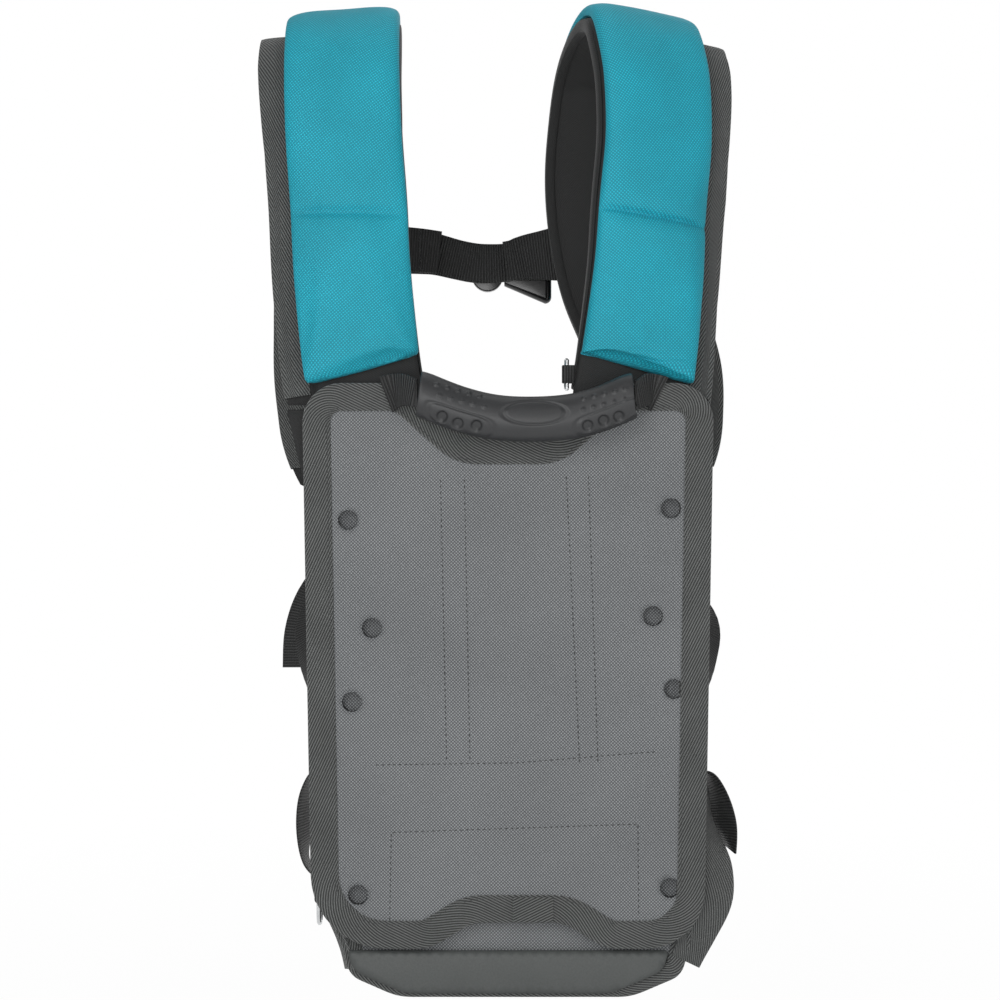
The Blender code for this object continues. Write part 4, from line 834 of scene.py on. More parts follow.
COVER_TAPE = 0.0155
piece("cover_tape", folded_tape(cover_edge, 0.0, COVER_THICKNESS, COVER_TAPE), twill, "panel",
      ["cover_binding"])
inner_row = [(x, -FIT - TAPE - 0.0001, z) for x, z in offset(cover_edge, -COVER_TAPE + 0.0022)]
piece("cover_tape_stitches", stitches(inner_row, (0, -1, 0), closed=True), thread, "panel")

# The end of the tape laps over its start at the middle of the bow
LAP = (0.0030, 0.0270)
lap_knots = []
for x in (LAP[0], 0.0090, 0.0150, 0.0210, LAP[1]):
    lap_knots.append((x, -2 * FIT - 1.5 * TAPE - 0.0003, -0.1345, 0.0, 0.0, 1.0))
piece("tape_lap", smooth_strip(lap_knots, 0.0150, TAPE), twill, "panel",
      ["binding_lap"])
print("tape:", round(sum(math.dist(a, b) for a, b in zip(cover_edge, cover_edge[1:])), 2), "m")

# %% [markdown]
# ## What is sewn on behind the cover
#
# The double rows of stitches on the canvas hold two upright webbings and one across them, and
# the stitched rectangle below holds a patch. They lie between the cover and the board, where
# only their ends can be seen. They are plain strips, pressed flat, so a strip section carried
# along a straight line is enough.

# %% Webbings and the patch
WEBBING_WIDTH = 0.025
SEWN_DEPTH = 0.0028
SEWN = (
    ("upright_webbing_left", (-0.0345, 0.1238), (-0.0305, -0.0465), "reinforcement_left"),
    ("upright_webbing_right", (0.0345, 0.1238), (0.0425, -0.0465), "reinforcement_right"),
    ("cross_webbing_strip", (-0.0838, -0.0595), (0.0838, -0.0595), "cross_webbing"),
)
for name, (x0, z0), (x1, z1), node in SEWN:
    way = (0.0, 0.0, 1.0) if z0 == z1 else (1.0, 0.0, 0.0)
    knots = [(x0 + (x1 - x0) * share / 4, SEWN_DEPTH, z0 + (z1 - z0) * share / 4, *way)
             for share in range(5)]
    piece(name, smooth_strip(knots, WEBBING_WIDTH - 0.0004, 0.0009, 4, 0.006), ribbed, "panel",
          [node])


patch_edge = rounded([
    (0.0728, -0.1208, 0.003), (0.0728, -0.0892, 0.003), (-0.0728, -0.0892, 0.003),
    (-0.0728, -0.1208, 0.003)], 0.003)
sheet_piece("pocket_lining", canvas_sheet(patch_edge, [], 0.005, 0.0025, lambda x, z: 0.0),
            0.0008, canvas, ["pocket_patch"], (0.146, 0.032))


def finish_node(node, finish):
    """Gives a CAD node that keeps its shape its finish."""
    mesh = frame["nodes"][node].data
    mesh.materials.clear()
    mesh.materials.append(finish)


# The board's near-black colour is partly painted shade, which darkens the bolt holes.
finish_node("back_board", board_black_and_hole_shade)

# %% [markdown]
# ## The back pad's front sheet
#
# Behind the cover hangs the pad that lies against the wearer. Its canvas shows as a second
# layer below the bowed edge, over a band of smooth coated cloth at the very foot. Both are cut
# from sheets, and the edge is bound like the cover's, with narrower tape.

# %% Pad canvas, band and tape
PAD_DEPTH = (0.0076, 0.0091)
REAR_FLANGE = (0.0094, 0.0109)
PAD_TAPE = 0.0100
PAD_FOOT_Z = -0.1875
PAD_HALF_WIDTH = 0.1130
PAD_TOP_Z = 0.1635
LEFT_PAD_SIDE = (
    (PAD_FOOT_Z, 0.0660, 0.0350), (PAD_FOOT_Z + 0.0125, 0.0945, 0.0120),
    (-0.1580, 0.0985, 0.0200), (-0.1380, 0.1075, 0.0300), (-0.0600, PAD_HALF_WIDTH, 0.1500),
)
RIGHT_PAD_SIDE = (
    (PAD_FOOT_Z, 0.0740, 0.0350), (PAD_FOOT_Z + 0.0125, 0.1035, 0.0120),
    (-0.1580, 0.1085, 0.0200), (-0.1380, 0.1110, 0.0300), (-0.0600, PAD_HALF_WIDTH, 0.1500),
)
PAD_CORNERS = (
    [(half, z, radius) for z, half, radius in RIGHT_PAD_SIDE]
    + [(PAD_HALF_WIDTH, PAD_TOP_Z, 0.018), (EAR_INNER_X, PAD_TOP_Z, 0.012),
       (0.0310, 0.1360, 0.012), (-0.0310, 0.1360, 0.012),
       (-EAR_INNER_X, PAD_TOP_Z, 0.012), (-PAD_HALF_WIDTH, PAD_TOP_Z, 0.018)]
    + [(-half, z, radius) for z, half, radius in reversed(LEFT_PAD_SIDE)]
)
pad_edge = rounded(PAD_CORNERS, 0.0022)


def pad_swell(x, z):
    """The pad's canvas bellies out between the cover's bow and the foot."""
    return 0.00030 * noise.noise(Vector((x * 22.0, z * 26.0, 5.0)))


sheet_piece("pad_canvas", canvas_sheet(pad_edge, [], 0.0055, PAD_DEPTH[0], pad_swell),
            PAD_DEPTH[1] - PAD_DEPTH[0], canvas, ["pad_front_canvas"], (0.226, 0.351))
piece("pad_tape", folded_tape(pad_edge, PAD_DEPTH[0], REAR_FLANGE[1], PAD_TAPE), twill,
      "panel", ["pad_binding"])
for name, depth, face in (("front", PAD_DEPTH[0] - FIT - TAPE - 0.0002, (0, -1, 0)),
                          ("rear", REAR_FLANGE[1] + FIT + TAPE + 0.0001, (0, 1, 0))):
    row = [(x, depth, z) for x, z in offset(pad_edge, -PAD_TAPE + 0.0020)]
    piece("pad_tape_stitches_" + name, stitches(row, face, closed=True), thread, "panel")

BAND_TOP_Z = -0.1600
band_edge = rounded([
    (0.0620, PAD_FOOT_Z + 0.0015, 0.030), (0.0930, PAD_FOOT_Z + 0.0150, 0.012),
    (0.0970, BAND_TOP_Z, 0.002), (-0.0970, BAND_TOP_Z, 0.002),
    (-0.0930, PAD_FOOT_Z + 0.0150, 0.012), (-0.0620, PAD_FOOT_Z + 0.0015, 0.030)], 0.0020)


def band_swell(x, z):
    """Coated cloth stretched over an edge: a low roll with faint pulls along it."""
    height = (z - PAD_FOOT_Z) / (BAND_TOP_Z - PAD_FOOT_Z)
    roll = 0.0009 * math.sin(math.pi * min(max(height, 0.0), 1.0))
    return roll + 0.00025 * noise.noise(Vector((x * 30.0, z * 70.0, 2.0)))


sheet_piece("lumbar_cloth", canvas_sheet(band_edge, [], 0.0035, 0.0043, band_swell), 0.0014,
            vinyl, ["lumbar_band"], (0.194, 0.026))

# %% [markdown]
# ## Air in a cushion
#
# A stuffed pad is a closed cover that the foam presses outwards evenly, and that is what cloth
# simulation with air pressure gives: sides that pull in, a crowned middle and a few natural
# hollows. The rough form is made a little too thin and blown up for 20 frames. Where its faces
# are uneven it is remeshed first. Points that rest on another layer are held, and none may move
# further than a limit.

# %% Blowing up a cushion
AIR_PRESSURE = 4.0
AIR_FRAMES = 20


def blown(made, limit, rests, voxel=None):
    """Swells a closed form with air pressure and smooths it once, remeshed first for a voxel."""
    chosen(made)
    if voxel:
        applied(made, "REMESH", mode="VOXEL", voxel_size=voxel)
    before = [point.co.copy() for point in made.data.vertices]
    held = made.vertex_groups.new(name="held")
    held.add([index for index, point in enumerate(before) if rests(point)], 1.0, "ADD")
    air = made.modifiers.new("air", "CLOTH")
    air.settings.vertex_group_mass = held.name
    air.settings.use_pressure = True
    air.settings.uniform_pressure_force = AIR_PRESSURE
    air.settings.effector_weights.gravity = 0.0
    air.point_cache.frame_start = 1
    air.point_cache.frame_end = AIR_FRAMES
    for step in range(1, AIR_FRAMES + 1):
        bpy.context.scene.frame_set(step)
    bpy.ops.object.modifier_apply(modifier=air.name)
    for point, start in zip(made.data.vertices, before):
        move = point.co - start
        if move.length > limit:
            point.co = start + move * (limit / move.length)
    bpy.context.scene.frame_set(1)
    made.vertex_groups.clear()
    chosen(made)
    applied(made, "SUBSURF", levels=1, render_levels=1)
    bpy.ops.object.shade_smooth()
    print(made.name, "blown up:", len(made.data.polygons), "faces")


# %% [markdown]
# ## The quilted back pad
#
# The wearer's side is a foam cushion under spacer mesh, with four fields between three sewn
# grooves. Its flat cover sheet is caught in the binding, and the cushion stands on that. The
# rough form is a low crowned block over the pad's own outline. The grooves are pressed in after
# the simulation, because a remesh would wipe them out, and stitches run along each one.

# %% Back pad
FOAM_TOP_Z = 0.1240
FOAM_INSET = 0.0130
GROOVES_Z = (0.0600, -0.0050, -0.0700)


def pad_half_width(z, side):
    """How far the pad reaches to one side at a height below its ears."""
    table = LEFT_PAD_SIDE if side < 0 else RIGHT_PAD_SIDE
    for (low_z, low, _), (high_z, high, _) in zip(table, table[1:]):
        if z <= high_z:
            return low + (high - low) * max(0.0, z - low_z) / (high_z - low_z)
    return PAD_HALF_WIDTH


cushion_edge = rounded([
    (0.0600, PAD_FOOT_Z + FOAM_INSET, 0.030), (0.0900, -0.1600, 0.020),
    (0.0985, -0.1300, 0.040), (0.0998, FOAM_TOP_Z, 0.018), (-0.0998, FOAM_TOP_Z, 0.018),
    (-0.0945, -0.1300, 0.040), (-0.0820, -0.1600, 0.020),
    (-0.0520, PAD_FOOT_Z + FOAM_INSET, 0.030)], 0.006)
loops = []
for inwards, rise in ((0.0, 0.0), (-0.0005, 0.007), (-0.003, 0.014), (-0.009, 0.019),
                      (-0.020, 0.0220), (-0.045, 0.0235), (-0.080, 0.0240)):
    scale = 1.0 + inwards / 0.0998
    loops.append([(x * scale, REAR_FLANGE[1] + 0.0002 + rise,
                   -0.022 + (z + 0.022) * (1.0 + inwards / 0.148)) for x, z in cushion_edge])
cushion = piece("back_cushion", skin([[Vector(p) for p in loop] for loop in loops]), spacer,
                "panel", ["back_pad", "rear_cover"])
blown(cushion, 0.006, lambda point: point.y < REAR_FLANGE[1] + 0.0015, 0.005)


def groove_depth(x, z):
    """How deep the sewn grooves press into the cushion at a place."""
    depth = 0.0
    for groove in GROOVES_Z:
        away = z - groove - 0.0006 * math.sin(x * 90.0 + groove * 400.0)
        depth = max(depth, math.exp(-((away / 0.0058) ** 2)))
    return 0.0100 * depth * max(0.0, 1.0 - (abs(x) / 0.103) ** 6)


for point in cushion.data.vertices:
    x, y, z = point.co
    height = y - REAR_FLANGE[1]
    if height > 0.003:
        share = min(1.0, (height - 0.003) / 0.014)
        crumple = 0.0006 * noise.noise(Vector((x * 34.0, z * 42.0, 1.0)))
        point.co.y = y - share * (groove_depth(x, z) - crumple)

rear_edge = [tuple(point) for point in spaced(offset(cushion_edge, 0.0070), 0.006, True)]
sheet_piece("rear_sheet", canvas_sheet(rear_edge, [], 0.008, REAR_FLANGE[0], lambda x, z: 0.0),
            REAR_FLANGE[1] - REAR_FLANGE[0] - 0.0001, spacer, ["rear_cover"],
            (0.226, 0.320), 0.066)


def cushion_height(x, z):
    """Where the cushion's back surface is, from a ray towards it."""
    hit, place, _, _ = cushion.ray_cast(Vector((x, 0.2, z)), Vector((0.0, -1.0, 0.0)))
    return place.y if hit else REAR_FLANGE[1]


rows = []
for groove in GROOVES_Z:
    line = []
    for step in range(61):
        x = -0.088 + 0.176 * step / 60
        z = groove + 0.0006 * math.sin(x * 90.0 + groove * 400.0)
        line.append((x, cushion_height(x, z) + 0.0001, z))
    rows.append(stitches(line, (0, 1, 0)))
piece("cushion_stitches", merged(*rows), thread, "panel")
print("grooves:", len(rows))

# %% [markdown]
# ## The line of each shoulder strap
#
# Both straps follow one line: up from the ears, over the shoulder and down the chest. The right
# one is turned on its way up, so its outer edge lies deeper. The line is a smooth curve through
# stations, and at each place it gives a frame: the middle, the way along, the way outwards and
# the way off the wearer. All layers of a strap are sections carried on these frames, which
# keeps them one above the other through every bend.

# %% Strap line
STRAP_STEP = 0.0035
HALF_WIDTH = 0.0410
HALF_THICKNESS = 0.0040
FLANGE_WIDTH = 0.0170
FLANGE_THICKNESS = 0.0030
EDGE_TAPE_WIDTH = 0.0050
TAPER_LENGTH = 0.0450
TAPER = 0.7400
TWIST_PIVOT_SHARE = 0.7
STATIONS = (
    (0.0093, 0.1720, 0.0860, -0.0060, 0), (0.0125, 0.1980, 0.0900, -0.0060, 8),
    (0.0170, 0.2450, 0.0950, -0.0060, 16), (0.0200, 0.2900, 0.0975, -0.0060, 20),
    (0.0230, 0.3300, 0.1005, -0.0060, 22), (0.0300, 0.3660, 0.1010, -0.0070, 20),
    (0.0470, 0.3930, 0.0995, -0.0090, 14), (0.0720, 0.4040, 0.0980, -0.0110, 6),
    (0.0980, 0.3990, 0.0950, -0.0150, 0), (0.1190, 0.3800, 0.0920, -0.0190, 0),
    (0.1320, 0.3520, 0.0900, -0.0210, 0), (0.1370, 0.3200, 0.0895, -0.0225, 0),
    (0.1390, 0.2880, 0.0910, -0.0215, 0), (0.1380, 0.2550, 0.0935, -0.0170, 0),
    (0.1330, 0.2250, 0.0990, -0.0110, 0), (0.1240, 0.1920, 0.1030, -0.0060, 0),
    (0.1140, 0.1580, 0.1005, -0.0040, 0), (0.1095, 0.1200, 0.0980, -0.0030, 0),
)


def strap_frames(side):
    """Middle, way along, way outwards and way off the wearer, every few millimetres."""
    knots = []
    for y, z, spread, shift, turn in STATIONS:
        knots.append((y, z, spread, shift, math.radians(turn) if side > 0 else 0.0))
    fine = []
    for y, z, spread, shift, twist in curve(knots, 12):
        back = TWIST_PIVOT_SHARE * HALF_WIDTH * math.sin(twist)
        fine.append((shift + side * spread, y + back, z, twist))
    places = spaced(fine, STRAP_STEP)
    middles = [Vector(place[:3]) for place in places]
    frames = []
    last = len(middles) - 1
    for index, middle in enumerate(middles):
        along = (middles[min(index + 2, last)] - middles[max(index - 2, 0)]).normalized()
        if index == 0:
            along = Vector((0.0, 0.0, 1.0))
        if index == last:
            along = Vector((0.0, 0.0, -1.0))
        top = max(0.0, math.sin(math.pi * index / last)) ** 4
        slope = math.radians(5.0) * top * side
        across = Vector((math.cos(slope), 0.0, -math.sin(slope)))
        across = (across - along * across.dot(along)).normalized()
        across = Matrix.Rotation(places[index][3], 3, along) @ across
        frames.append((middle, along, across * side, across.cross(along).normalized()))
    return frames


def flare(name, frame):
    """How much wider than its line the flange stands, high on the front run."""
    middle, along = frame[0], frame[1]
    if along.z < 0.0 and middle.y > 0.07:
        ease = max(0.0, 1.0 - (0.41 - middle.z) / 0.03)
    else:
        ease = 1.0
    high = max(0.0, min(1.0, (middle.z - 0.235) / 0.065))
    top = max(0.0, min(1.0, (middle.z - 0.325) / 0.055))
    size = 0.0040 * high + 0.0042 * top if name == "right" else 0.0034 * top
    return size * ease * ease * (3.0 - 2.0 * ease)


def place_at(frames, height, rear):
    """Index of the frame where a strap's front or rear run passes a height."""
    top = max(range(len(frames)), key=lambda index: frames[index][0].z)
    run = range(top, len(frames)) if rear else range(top)
    return min(run, key=lambda index: abs(frames[index][0].z - height))


def width_share(frames, index):
    """1 along the strap, less over its last stretch."""
    ease = min(1.0, (len(frames) - 1 - index) * STRAP_STEP / TAPER_LENGTH)
    return TAPER + (1.0 - TAPER) * ease * (2.0 - ease)


def ring_on(frame, section, share=1.0):
    """A section of (outwards, off the wearer) points on a frame."""
    middle, _, out, off = frame
    draw_in = (1.0 - share) * HALF_WIDTH
    return [middle + out * (reach - math.copysign(draw_in, reach)) + off * rise
            for reach, rise in section]


straps = {"left": strap_frames(-1.0), "right": strap_frames(1.0)}
print("strap length:", round(len(straps["left"]) * STRAP_STEP, 3), "m")

# %% [markdown]
# ## Lining, edge tapes and feet
#
# The wearer's side of a strap is a smooth black lining over 8 mm of foam. It rolls round the
# inner edge, and on the outer side it is pressed flat to a thin flange. A twill tape as wide as
# the flange is folded over that, and a narrow tape of lining cloth finishes the inner edge. A seam
# crosses the lining high on the chest run. The lining is padded, so its section is rounded and
# its faces carry slow waves and small gathers next to the seam.

# %% Strap bodies
SEAM_REAR_Z = 0.3740


def lining_section(wider=0.0):
    """Round the foam body: wearer's face, flange, and the roll at the inner edge."""
    half = HALF_WIDTH
    thick = HALF_THICKNESS
    flange = half - FLANGE_WIDTH
    edge = half + wider
    top = FLANGE_THICKNESS - thick
    section = [(-half + 0.0012, -thick * 0.86), (-half + 0.0030, -thick)]
    section += [(-half + EDGE_TAPE_WIDTH + 0.002, -thick)]
    for share in (0.1, 0.25, 0.4, 0.55, 0.7, 0.85):
        x = -half + EDGE_TAPE_WIDTH + share * (flange + half - EDGE_TAPE_WIDTH)
        section.append((x, -thick - 0.0011 * math.sin(math.pi * share) ** 0.6))
    section += [(flange - 0.0015, -thick), (flange + 0.004, -thick), (edge - 0.004, -thick),
                (edge, -thick), (edge, top), (edge - 0.004, top), (flange + 0.003, top),
                (flange - 0.0004, top + 0.0008), (flange - 0.0020, 0.72 * thick),
                (flange - 0.0045, thick)]
    section += [(flange - 0.014, thick), (-0.0085, thick), (-half + 0.012, thick)]
    section += [(-half + 0.0040, thick), (-half + 0.0014, 0.90 * thick),
                (-half + 0.0003, 0.55 * thick), (-half, 0.0), (-half + 0.0002, -0.5 * thick)]
    return section


def waved(rings, size, scale, seed):
    """Moves each ring's points a little, so that cloth isn't perfectly smooth."""
    for ring in rings:
        for index, point in enumerate(ring):
            shift = noise.noise_vector(point * scale + Vector((seed, 0.0, 0.0)))
            ring[index] = point + shift * size


def seam_pull(index, seam):
    """From 0 to 1, how near a frame is to a cross seam."""
    return math.exp(-(((index - seam) * STRAP_STEP / 0.0030) ** 2))


for name, frames in straps.items():
    last = len(frames) - 1
    seam = place_at(frames, SEAM_REAR_Z, True)
    rings = []
    first, up, out, off = frames[0]
    for angle in (15.0, 40.0, 65.0):
        drop = HALF_THICKNESS * math.cos(math.radians(angle))
        flat = math.sin(math.radians(angle))
        nose = (first - up * drop, up, out, off)
        rings.append(ring_on(nose, [(x, rise * flat) for x, rise in lining_section()]))
    for index, frame_here in enumerate(frames):
        pull = seam_pull(index, seam)
        section = []
        for x, rise in lining_section(flare(name, frame_here)):
            if rise < -HALF_THICKNESS and pull > 0.01:
                rise += 0.0018 * pull
            section.append((x, rise))
        rings.append(ring_on(frame_here, section, width_share(frames, index)))
    waved(rings[4:-1], 0.00022, 55.0, 3.0)
    body = piece("strap_lining_" + name, skin(rings), lining, "shoulder_straps",
                 ["strap_base_" + name])

    twill_rings = []
    edge_rings = []
    low = -HALF_THICKNESS
    high = low + FLANGE_THICKNESS
    front = HALF_WIDTH - FLANGE_WIDTH + 0.0022
    rear = HALF_WIDTH - FLANGE_WIDTH
    for index in range(2, last - 3):
        puff = 0.00025 * noise.noise(frames[index][0] * 40.0)
        half = HALF_WIDTH + flare(name, frames[index])
        section = [
            (rear, low - FIT), (half + FIT, low - FIT), (half + FIT, high + FIT),
            (front, high + FIT), (front, high + FIT + 0.6 * TAPE),
            (front + 0.0008, high + FIT + TAPE), (front + 0.004, high + FIT + 1.25 * TAPE + puff),
            (front + 0.009, high + FIT + 1.35 * TAPE + puff),
            (half - 0.002, high + FIT + 1.1 * TAPE),
            (half + FIT + 0.6 * TAPE, high + FIT + 0.6 * TAPE),
            (half + FIT + TAPE, high - 0.0006), (half + FIT + TAPE, low + 0.0006),
            (half + FIT + 0.6 * TAPE, low - FIT - 0.6 * TAPE), (half - 0.002, low - FIT - TAPE),
            (rear + 0.007, low - FIT - 1.2 * TAPE + puff), (rear + 0.0008, low - FIT - TAPE),
            (rear, low - FIT - 0.6 * TAPE),
        ]
        share = width_share(frames, index)
        twill_rings.append(ring_on(frames[index], section, share))
        edge = -HALF_WIDTH - FIT
        under = low - FIT
        section = [
            (edge, 0.6 * HALF_THICKNESS), (edge, under), (edge + EDGE_TAPE_WIDTH, under),
            (edge + EDGE_TAPE_WIDTH, under - 0.7 * TAPE),
            (edge + EDGE_TAPE_WIDTH - 0.0006, under - TAPE), (edge + 0.001, under - 1.1 * TAPE),
            (edge - 0.6 * TAPE, under - 0.6 * TAPE), (edge - 1.1 * TAPE, under + 0.001),
            (edge - 1.2 * TAPE, 0.0), (edge - TAPE, 0.5 * HALF_THICKNESS),
            (edge - 0.6 * TAPE, 0.6 * HALF_THICKNESS),
        ]
        edge_rings.append(ring_on(frames[index], section, share))
    piece("outer_tape_" + name, skin(twill_rings), twill, "shoulder_straps",
          ["outer_binding_" + name])
    piece("edge_tape_" + name, skin(edge_rings), lining, "shoulder_straps",
          ["inner_tape_" + name])
    rows = []
    for inwards, rise, way in ((front + 0.0020, high + FIT + 1.15 * TAPE, 1.0),
                               (rear + 0.0020, low - FIT - 1.1 * TAPE, -1.0)):
        line = []
        faces = []
        for index in range(3, last - 4):
            middle, _, out, off = frames[index]
            draw_in = (1.0 - width_share(frames, index)) * HALF_WIDTH
            line.append(middle + out * (inwards - draw_in) + off * rise)
            faces.append(off * way)
        rows.append(stitches(line, lambda here, line=line, faces=faces: faces[
            min(range(len(line)), key=lambda i: (line[i] - here).length_squared)]))
    piece("outer_tape_stitches_" + name, merged(*rows), thread, "shoulder_straps")
    print("strap", name, "lining rings:", len(rings))

# %% [markdown]
# The lower end of each strap is sewn in between cover and board. It is a doubled layer of lining
# that ends in a folded cuff a few millimetres under the hinge seam. The cuff leans with the strap.

# %% Strap feet
# Above this height a foot leans sideways with its strap.
LEAN_FROM_Z = 0.1600
for name, side in (("left", -1.0), ("right", 1.0)):
    middle = straps[name][0][0].x
    seam = straps[name][0][0].z - HALF_THICKNESS - FIT
    lean = straps[name][0][2]
    rings = []
    for z, front, back, half, shift in (
        (0.1232, 0.0040, 0.0058, 0.0368, 0.0060), (0.1236, 0.0038, 0.0060, 0.0370, 0.0060),
        (0.1400, 0.0038, 0.0061, 0.0390, 0.0035), (0.1560, 0.0038, 0.0061, 0.0400, 0.0010),
        (seam - 0.0048, 0.0038, 0.0062, 0.0408, 0.0), (seam - 0.0041, 0.0040, 0.0098, 0.0410, 0.0),
        (seam - 0.0034, 0.0040, 0.0108, 0.0410, 0.0), (seam - 0.0028, 0.0042, 0.0106, 0.0410, 0.0),
        (seam - 0.0022, 0.0048, 0.0096, 0.0406, 0.0),
    ):
        centre = middle - side * shift
        depth = (front + back) / 2
        tilt = lean.z / lean.x if z > LEAN_FROM_Z else 0.0
        ring = []
        for step in range(24):
            angle = 2 * math.pi * (step + 0.5) / 24
            x = math.copysign(abs(math.cos(angle)) ** 0.25, math.cos(angle)) * half
            y = math.copysign(abs(math.sin(angle)) ** 0.35, math.sin(angle)) * (back - front) / 2
            ring.append(Vector((centre + x, depth + y, z + tilt * x)))
        rings.append(ring)
    foot = piece("strap_foot_cloth_" + name, skin(rings), lining, "panel",
                 ["strap_foot_" + name])
print("feet: 2")

# %% [markdown]
# ## The teal cushions
#
# A soft cushion under a teal cover lies on the outer side of each strap. Its face is nearly flat,
# its side walls roll over in a small radius, and it is drawn in where a seam crosses it. The
# rough form is a flat box with round edges, carried along the strap. Air pressure swells it, and
# its underside is held on the strap. Then the cross seams are pressed in, with small gathers
# that fan out from them, and the cloth gets slow waves. The weave follows the strap, so each
# face corner gets its place across and along it in metres.

# %% Cushion form
TEAL_MIDDLES = {"left": -0.0076, "right": -0.0062}
TEAL_HALF_WIDTH = 0.0356
TEAL_SLANT = 0.0045
TEAL_HEIGHT = 0.0125
TEAL_BULGE = 0.0018
TEAL_FIT = 0.0006
TEAL_FRONT_END_Z = 0.1870
TEAL_REAR_END_Z = 0.1650
CREASE_FRONT_Z = 0.2820


CROWN_STEPS = 256
CROWN_POINTS = 32


def cushion_section(height, centre):
    """A flat foot with a full, rounded crown, in even steps round the crown."""
    base = HALF_THICKNESS + TEAL_FIT
    crown = []
    for step in range(CROWN_STEPS + 1):
        angle = math.pi * (1.0 - step / CROWN_STEPS)
        round_x = math.copysign(abs(math.cos(angle)) ** 0.42, math.cos(angle))
        rise = math.sin(angle) ** 0.55 if 0 < step < CROWN_STEPS else 0.0
        bulge = TEAL_BULGE * min(1.0, rise * 1.6)
        crown.append((centre + 0.6 * bulge + (TEAL_HALF_WIDTH - 0.0012 + bulge) * round_x,
                      base + height * rise))
    lengths = [0.0]
    for here, ahead in zip(crown, crown[1:]):
        lengths.append(lengths[-1] + math.dist(here, ahead))
    points = []
    for step in range(CROWN_POINTS + 1):
        reach = lengths[-1] * step / CROWN_POINTS
        at = max(index for index in range(CROWN_STEPS) if lengths[index] <= reach)
        share = (reach - lengths[at]) / (lengths[at + 1] - lengths[at])
        points.append(tuple(a + (b - a) * share for a, b in zip(crown[at], crown[at + 1])))
    for share in (0.9, 0.7, 0.5, 0.3, 0.1, -0.1, -0.3, -0.5, -0.7, -0.9):
        points.append((centre + TEAL_HALF_WIDTH * share, base))
    return points


def strap_place(frames, tree, point):
    """Place along, outwards and off the strap of a point near it."""
    _, index, _ = tree.find(point)
    middle, along, out, off = frames[index]
    away = point - middle
    return index * STRAP_STEP + away.dot(along), away.dot(out), away.dot(off), index


def weave_map(made, frames, tree, centre):
    """Gives each face corner its place across and along the strap, in metres."""
    layer = made.data.uv_layers.new(name="cloth")
    found = []
    for point in made.data.vertices:
        along, out, off, _ = strap_place(frames, tree, point.co)
        wall = min(1.0, max(0.0, abs(out - centre) / TEAL_HALF_WIDTH - 0.75) / 0.25)
        down = wall * (TEAL_HEIGHT + HALF_THICKNESS - off)
        found.append((out + math.copysign(down, out - centre), along))
    for corner in made.data.loops:
        layer.data[corner.index].uv = found[corner.vertex_index]


for name, frames in straps.items():
    start = place_at(frames, TEAL_FRONT_END_Z, False)
    stop = place_at(frames, TEAL_REAR_END_Z, True)
    centre = TEAL_MIDDLES[name]
    rings = []
    for index in range(start, stop + 1):
        near = min(index - start, stop - index) * STRAP_STEP / 0.0080
        ease = min(1.0, near)
        height = (TEAL_HEIGHT - 0.0022) * (0.30 + 0.70 * math.sqrt(ease * (2.0 - ease)))
        ring = ring_on(frames[index], cushion_section(height, centre))
        slope = TEAL_SLANT * max(0.0, 1.0 - (index - start) / 6)
        middle, way, side, _ = frames[index]
        rings.append([point - way * (slope * (point - middle).dot(side) / TEAL_HALF_WIDTH)
                      for point in ring])
    pad = piece("teal_cushion_" + name, skin(rings), teal, "shoulder_straps",
                ["strap_pad_" + name])
    tree = kdtree.KDTree(len(frames))
    for index, frame_here in enumerate(frames):
        tree.insert(frame_here[0], index)
    tree.balance()
    blown(pad, 0.0040, lambda point: strap_place(frames, tree, point)[2]
          < HALF_THICKNESS + TEAL_FIT + 0.0012)
    seams = [(place_at(frames, CREASE_FRONT_Z, False), 0.0050 if name == "left" else 0.0062),
             (place_at(frames, SEAM_REAR_Z, True), 0.0050)]
    for point in pad.data.vertices:
        along, out, off, index = strap_place(frames, tree, point.co)
        rise = off - HALF_THICKNESS - TEAL_FIT
        if rise < 0.002:
            continue
        share = min(1.0, rise / TEAL_HEIGHT)
        push = 0.0
        for seam, depth in seams:
            slant = (0.12 if name == "right" else -0.06) * (out - centre)
            away = along - seam * STRAP_STEP + slant
            push += depth * (0.55 * math.exp(-((away / 0.0024) ** 2))
                             + 0.45 * math.exp(-((away / 0.0095) ** 2)))
            fan = noise.noise(Vector((out * 130.0, along * 22.0, seam * 1.7)))
            push += 0.0011 * fan * math.exp(-((away / 0.0120) ** 2))
        slow = noise.noise(Vector((out * 38.0, along * 17.0, 4.0 if name == "left" else 8.0)))
        push -= 0.0007 * slow
        off_way = frames[index][3]
        point.co -= off_way * (push * share)
    weave_map(pad, frames, tree, centre)
print("teal cushions: 2")

# %% [markdown]
# ## Webbing that follows two edges
#
# The chest strap, the side loops and the gussets are flat bands whose two long edges are known.
# A band is made from pairs of points on those edges: a smooth curve through the pairs, a section
# with round selvedges at each, and ribs that run straight across it.

# %% Bands
def band_piece(name, edges, thickness, finish, body, nodes=(), step=0.0022):
    """Webbing or tape between two edges, given as pairs of points."""
    knots = [(*low, *high) for low, high in edges]
    middles = []
    ways = []
    widths = []
    for values in spaced_pairs(curve(knots, 6), step):
        low, high = Vector(values[:3]), Vector(values[3:])
        middles.append((low + high) / 2)
        ways.append(high - low)
        widths.append((high - low).length)
    return piece(name, skin(strip_rings(middles, ways, widths, thickness)), finish, body,
                 nodes)


def taped_edge(frames, height):
    """Where the taped inner edge of a strap's chest run is, at a height."""
    middle, _, out, _ = frames[place_at(frames, height, True)]
    return (middle - out * (HALF_WIDTH + FIT + TAPE)).x


